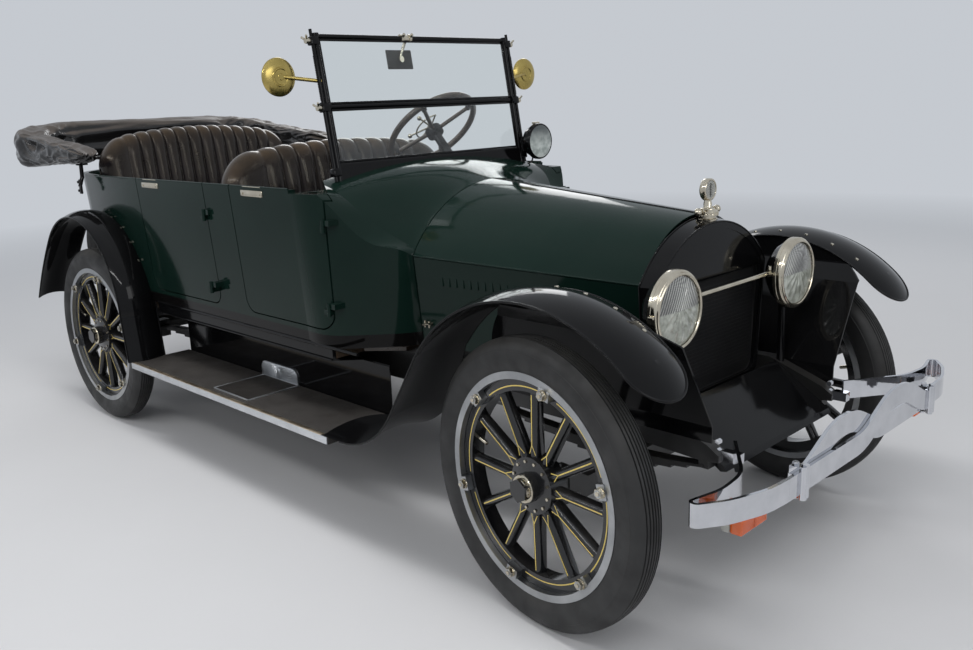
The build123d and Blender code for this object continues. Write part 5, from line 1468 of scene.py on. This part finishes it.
def makeGauges():
    rings, faces, marks = bmesh.new(), bmesh.new(), bmesh.new()
    x, z = dashDress["face"], dashDress["z"]
    for y, radius in dashDress["gauges"]:
        bezel = [(radius, 0.0), (radius, 0.008), (radius - 0.003, 0.0125), (radius - 0.008, 0.0125),
                 (radius - 0.010, 0.0075), (radius - 0.010, 0.0)]
        ring = turnedMesh(bezel, 48, facingBack((x, y, z)))
        mesh = bpy.data.meshes.new("gaugeRing")
        ring.to_mesh(mesh)
        ring.free()
        rings.from_mesh(mesh)
        bpy.data.meshes.remove(mesh)
        addRod(faces, (x - 0.0005, y, z), (x - 0.0055, y, z), radius - 0.0098, 40)
        middle = Vector((x - 0.0056, y, z))
        for number in range(dashDress["marks"]):
            angle = radians(-130 + 26 * number)
            out = Vector((0, sin(angle), cos(angle)))
            addRod(marks, middle + out * (radius * 0.60), middle + out * (radius * 0.74), 0.0009, 6)
        addRod(marks, middle, middle + Vector((0, -radius * 0.30, radius * 0.45)), 0.0010, 6)
        addRod(marks, middle + Vector((0.001, 0, 0)), middle - Vector((0.0015, 0, 0)), 0.0040, 12)
    finishMesh("gauge_rings", rings, nickelPlate, 35)
    finishMesh("gauge_faces", faces, dialCream, 35)
    finishMesh("gauge_marks", marks, blackPaint, 0)


tailDress = {"spot": (-2.0225, 0.532, 0.770), "lens": 0.0315, "rim": [
    (0.0385, 0.060), (0.0395, 0.062), (0.0390, 0.0675), (0.0360, 0.0705), (0.0325, 0.0700), (0.0318, 0.0670),
    (0.0330, 0.0640)]}


def makeTailLens():
    radius, place = tailDress["lens"], facingBack(tailDress["spot"])
    outline = domeOutline(radius, 0.0685, 0.006, 10, [(radius, 0.0680), (0.0, 0.0680)])
    finishMesh("tail_lamp_lens", turnedMesh(outline, 40, place, closed=False), redLens, 50)
    finishMesh("tail_lamp_rim", turnedMesh(tailDress["rim"], 48, place), nickelPlate, 35)


makeShieldPosts()
makeShieldTrim()
makeSteeringDress()
makeGauges()
makeTailLens()
print("cabin trimmed")


# Floor, light and camera

studio = {"floorSize": 40, "floorColor": (0.70, 0.70, 0.71), "worldColor": (0.80, 0.84, 0.90), "worldStrength": 0.30,
          "seenStrength": 0.70, "fadeStart": 2.5, "fadeEnd": 11.0}


def seenRays(tree):
    # 1 for what the camera sees, straight or in metal and through glass
    path = addNode(tree, "ShaderNodeLightPath").outputs
    seen = mathNode(tree, "MAXIMUM", path["Is Camera Ray"], path["Is Glossy Ray"])
    return mathNode(tree, "MAXIMUM", seen, path["Is Transmission Ray"])


def makeFloor():
    bm = bmesh.new()
    bmesh.ops.create_grid(bm, x_segments=1, y_segments=1, size=studio["floorSize"])
    mesh = bpy.data.meshes.new("floor")
    bm.to_mesh(mesh)
    bm.free()
    floor = newObject("floor", mesh)
    material, tree, shader = startMaterial("paleFloor")
    coords = objectCoords(tree)
    tone = ramp(tree, noiseFac(tree, coords, 1.5), 0.2, 0.8)
    color = studio["floorColor"]
    feed(tree, shader, {"Base Color": mixColor(tree, tone, color, tuple(c * 1.03 for c in color)), "Roughness": 0.7})
    # far from the object the floor fades into the background
    reach = addNode(tree, "ShaderNodeVectorMath", {0: coords}, operation="LENGTH").outputs["Value"]
    far = ramp(tree, reach, studio["fadeStart"], studio["fadeEnd"])
    glow = {"Color": studio["worldColor"], "Strength": studio["seenStrength"]}
    backdrop = addNode(tree, "ShaderNodeEmission", glow)
    fade = addNode(tree, "ShaderNodeMixShader", {
        0: mathNode(tree, "MULTIPLY", far, seenRays(tree)), 1: shader.outputs[0], 2: backdrop.outputs[0]})
    feed(tree, tree.nodes["Material Output"], {0: fade.outputs[0]})
    mesh.materials.append(material)


def makeWorld():
    # what the camera, metal and glass see is paler than the light that the world gives
    world = bpy.data.worlds.new("studio")
    world.use_nodes = True
    tree = world.node_tree
    strength = addNode(tree, "ShaderNodeMapRange", {
        "Value": seenRays(tree), "To Min": studio["worldStrength"], "To Max": studio["seenStrength"]})
    feed(tree, tree.nodes["Background"], {"Color": studio["worldColor"], "Strength": strength.outputs["Result"]})
    bpy.context.scene.world = world


# place, target, size, power, and whether metal and paint mirror the lamp
lamps = {
    "overheadLong": ((0.5, -1.2, 5.2), (0.3, 0, 0.8), (7.0, 1.6), 70, False),
    "overheadStrip": ((0.5, -1.2, 5.2), (0.3, 0, 0.8), (7.0, 0.45), 90, True),
    "sideKey": ((1.5, -6.5, 3.4), (0.2, 0, 0.8), (6.0, 2.0), 75, False),
    "noseFill": ((7.0, -0.5, 3.0), (1.2, 0, 0.8), (3.5, 2.0), 50, True),
    "crispStrip": ((0.8, -3.4, 3.4), (0.4, -0.4, 0.9), (6.5, 0.10), 45, True),
    "backRim": ((-4.5, 4.5, 4.0), (0, 0, 0.8), (4.0, 2.0), 80, True),
    "leftFill": ((1.0, 6.5, 3.2), (0.2, 0, 0.8), (6.0, 2.0), 45, False),
}


def addLamp(name, place, target, size, power, mirrored):
    data = bpy.data.lights.new(name, "AREA")
    data.shape = "RECTANGLE"
    data.size, data.size_y = size
    data.energy = power
    lamp = newObject(name, data)
    lamp.location = place
    lamp.visible_glossy = mirrored
    lamp.rotation_euler = (Vector(target) - Vector(place)).to_track_quat("-Z", "Y").to_euler()


camera = {"spot": (3.2845, -2.531, 1.502), "azimuth": 45.44, "elevation": 13.69, "roll": -2.22, "lens": 34.18,
          "sensor": 36.0}


def makeCamera():
    az, el, roll = (radians(camera[key]) for key in ("azimuth", "elevation", "roll"))
    back = Vector((sin(az) * cos(el), -cos(az) * cos(el), sin(el)))
    right = (-back).cross(Vector((0, 0, 1))).normalized()
    up = right.cross(-back)
    across = right * cos(roll) + up * sin(roll)
    above = up * cos(roll) - right * sin(roll)
    data = bpy.data.cameras.new("photoCamera")
    data.lens = camera["lens"]
    data.sensor_width = camera["sensor"]
    obj = newObject("photoCamera", data)
    obj.matrix_world = Matrix.Translation(camera["spot"]) @ Matrix((across, above, back)).transposed().to_4x4()
    bpy.context.scene.camera = obj


makeFloor()
makeWorld()
for name, lamp in lamps.items():
    addLamp(name, *lamp)
makeCamera()
bpy.context.scene.view_settings.view_transform = "Standard"
print("studio and camera ready")
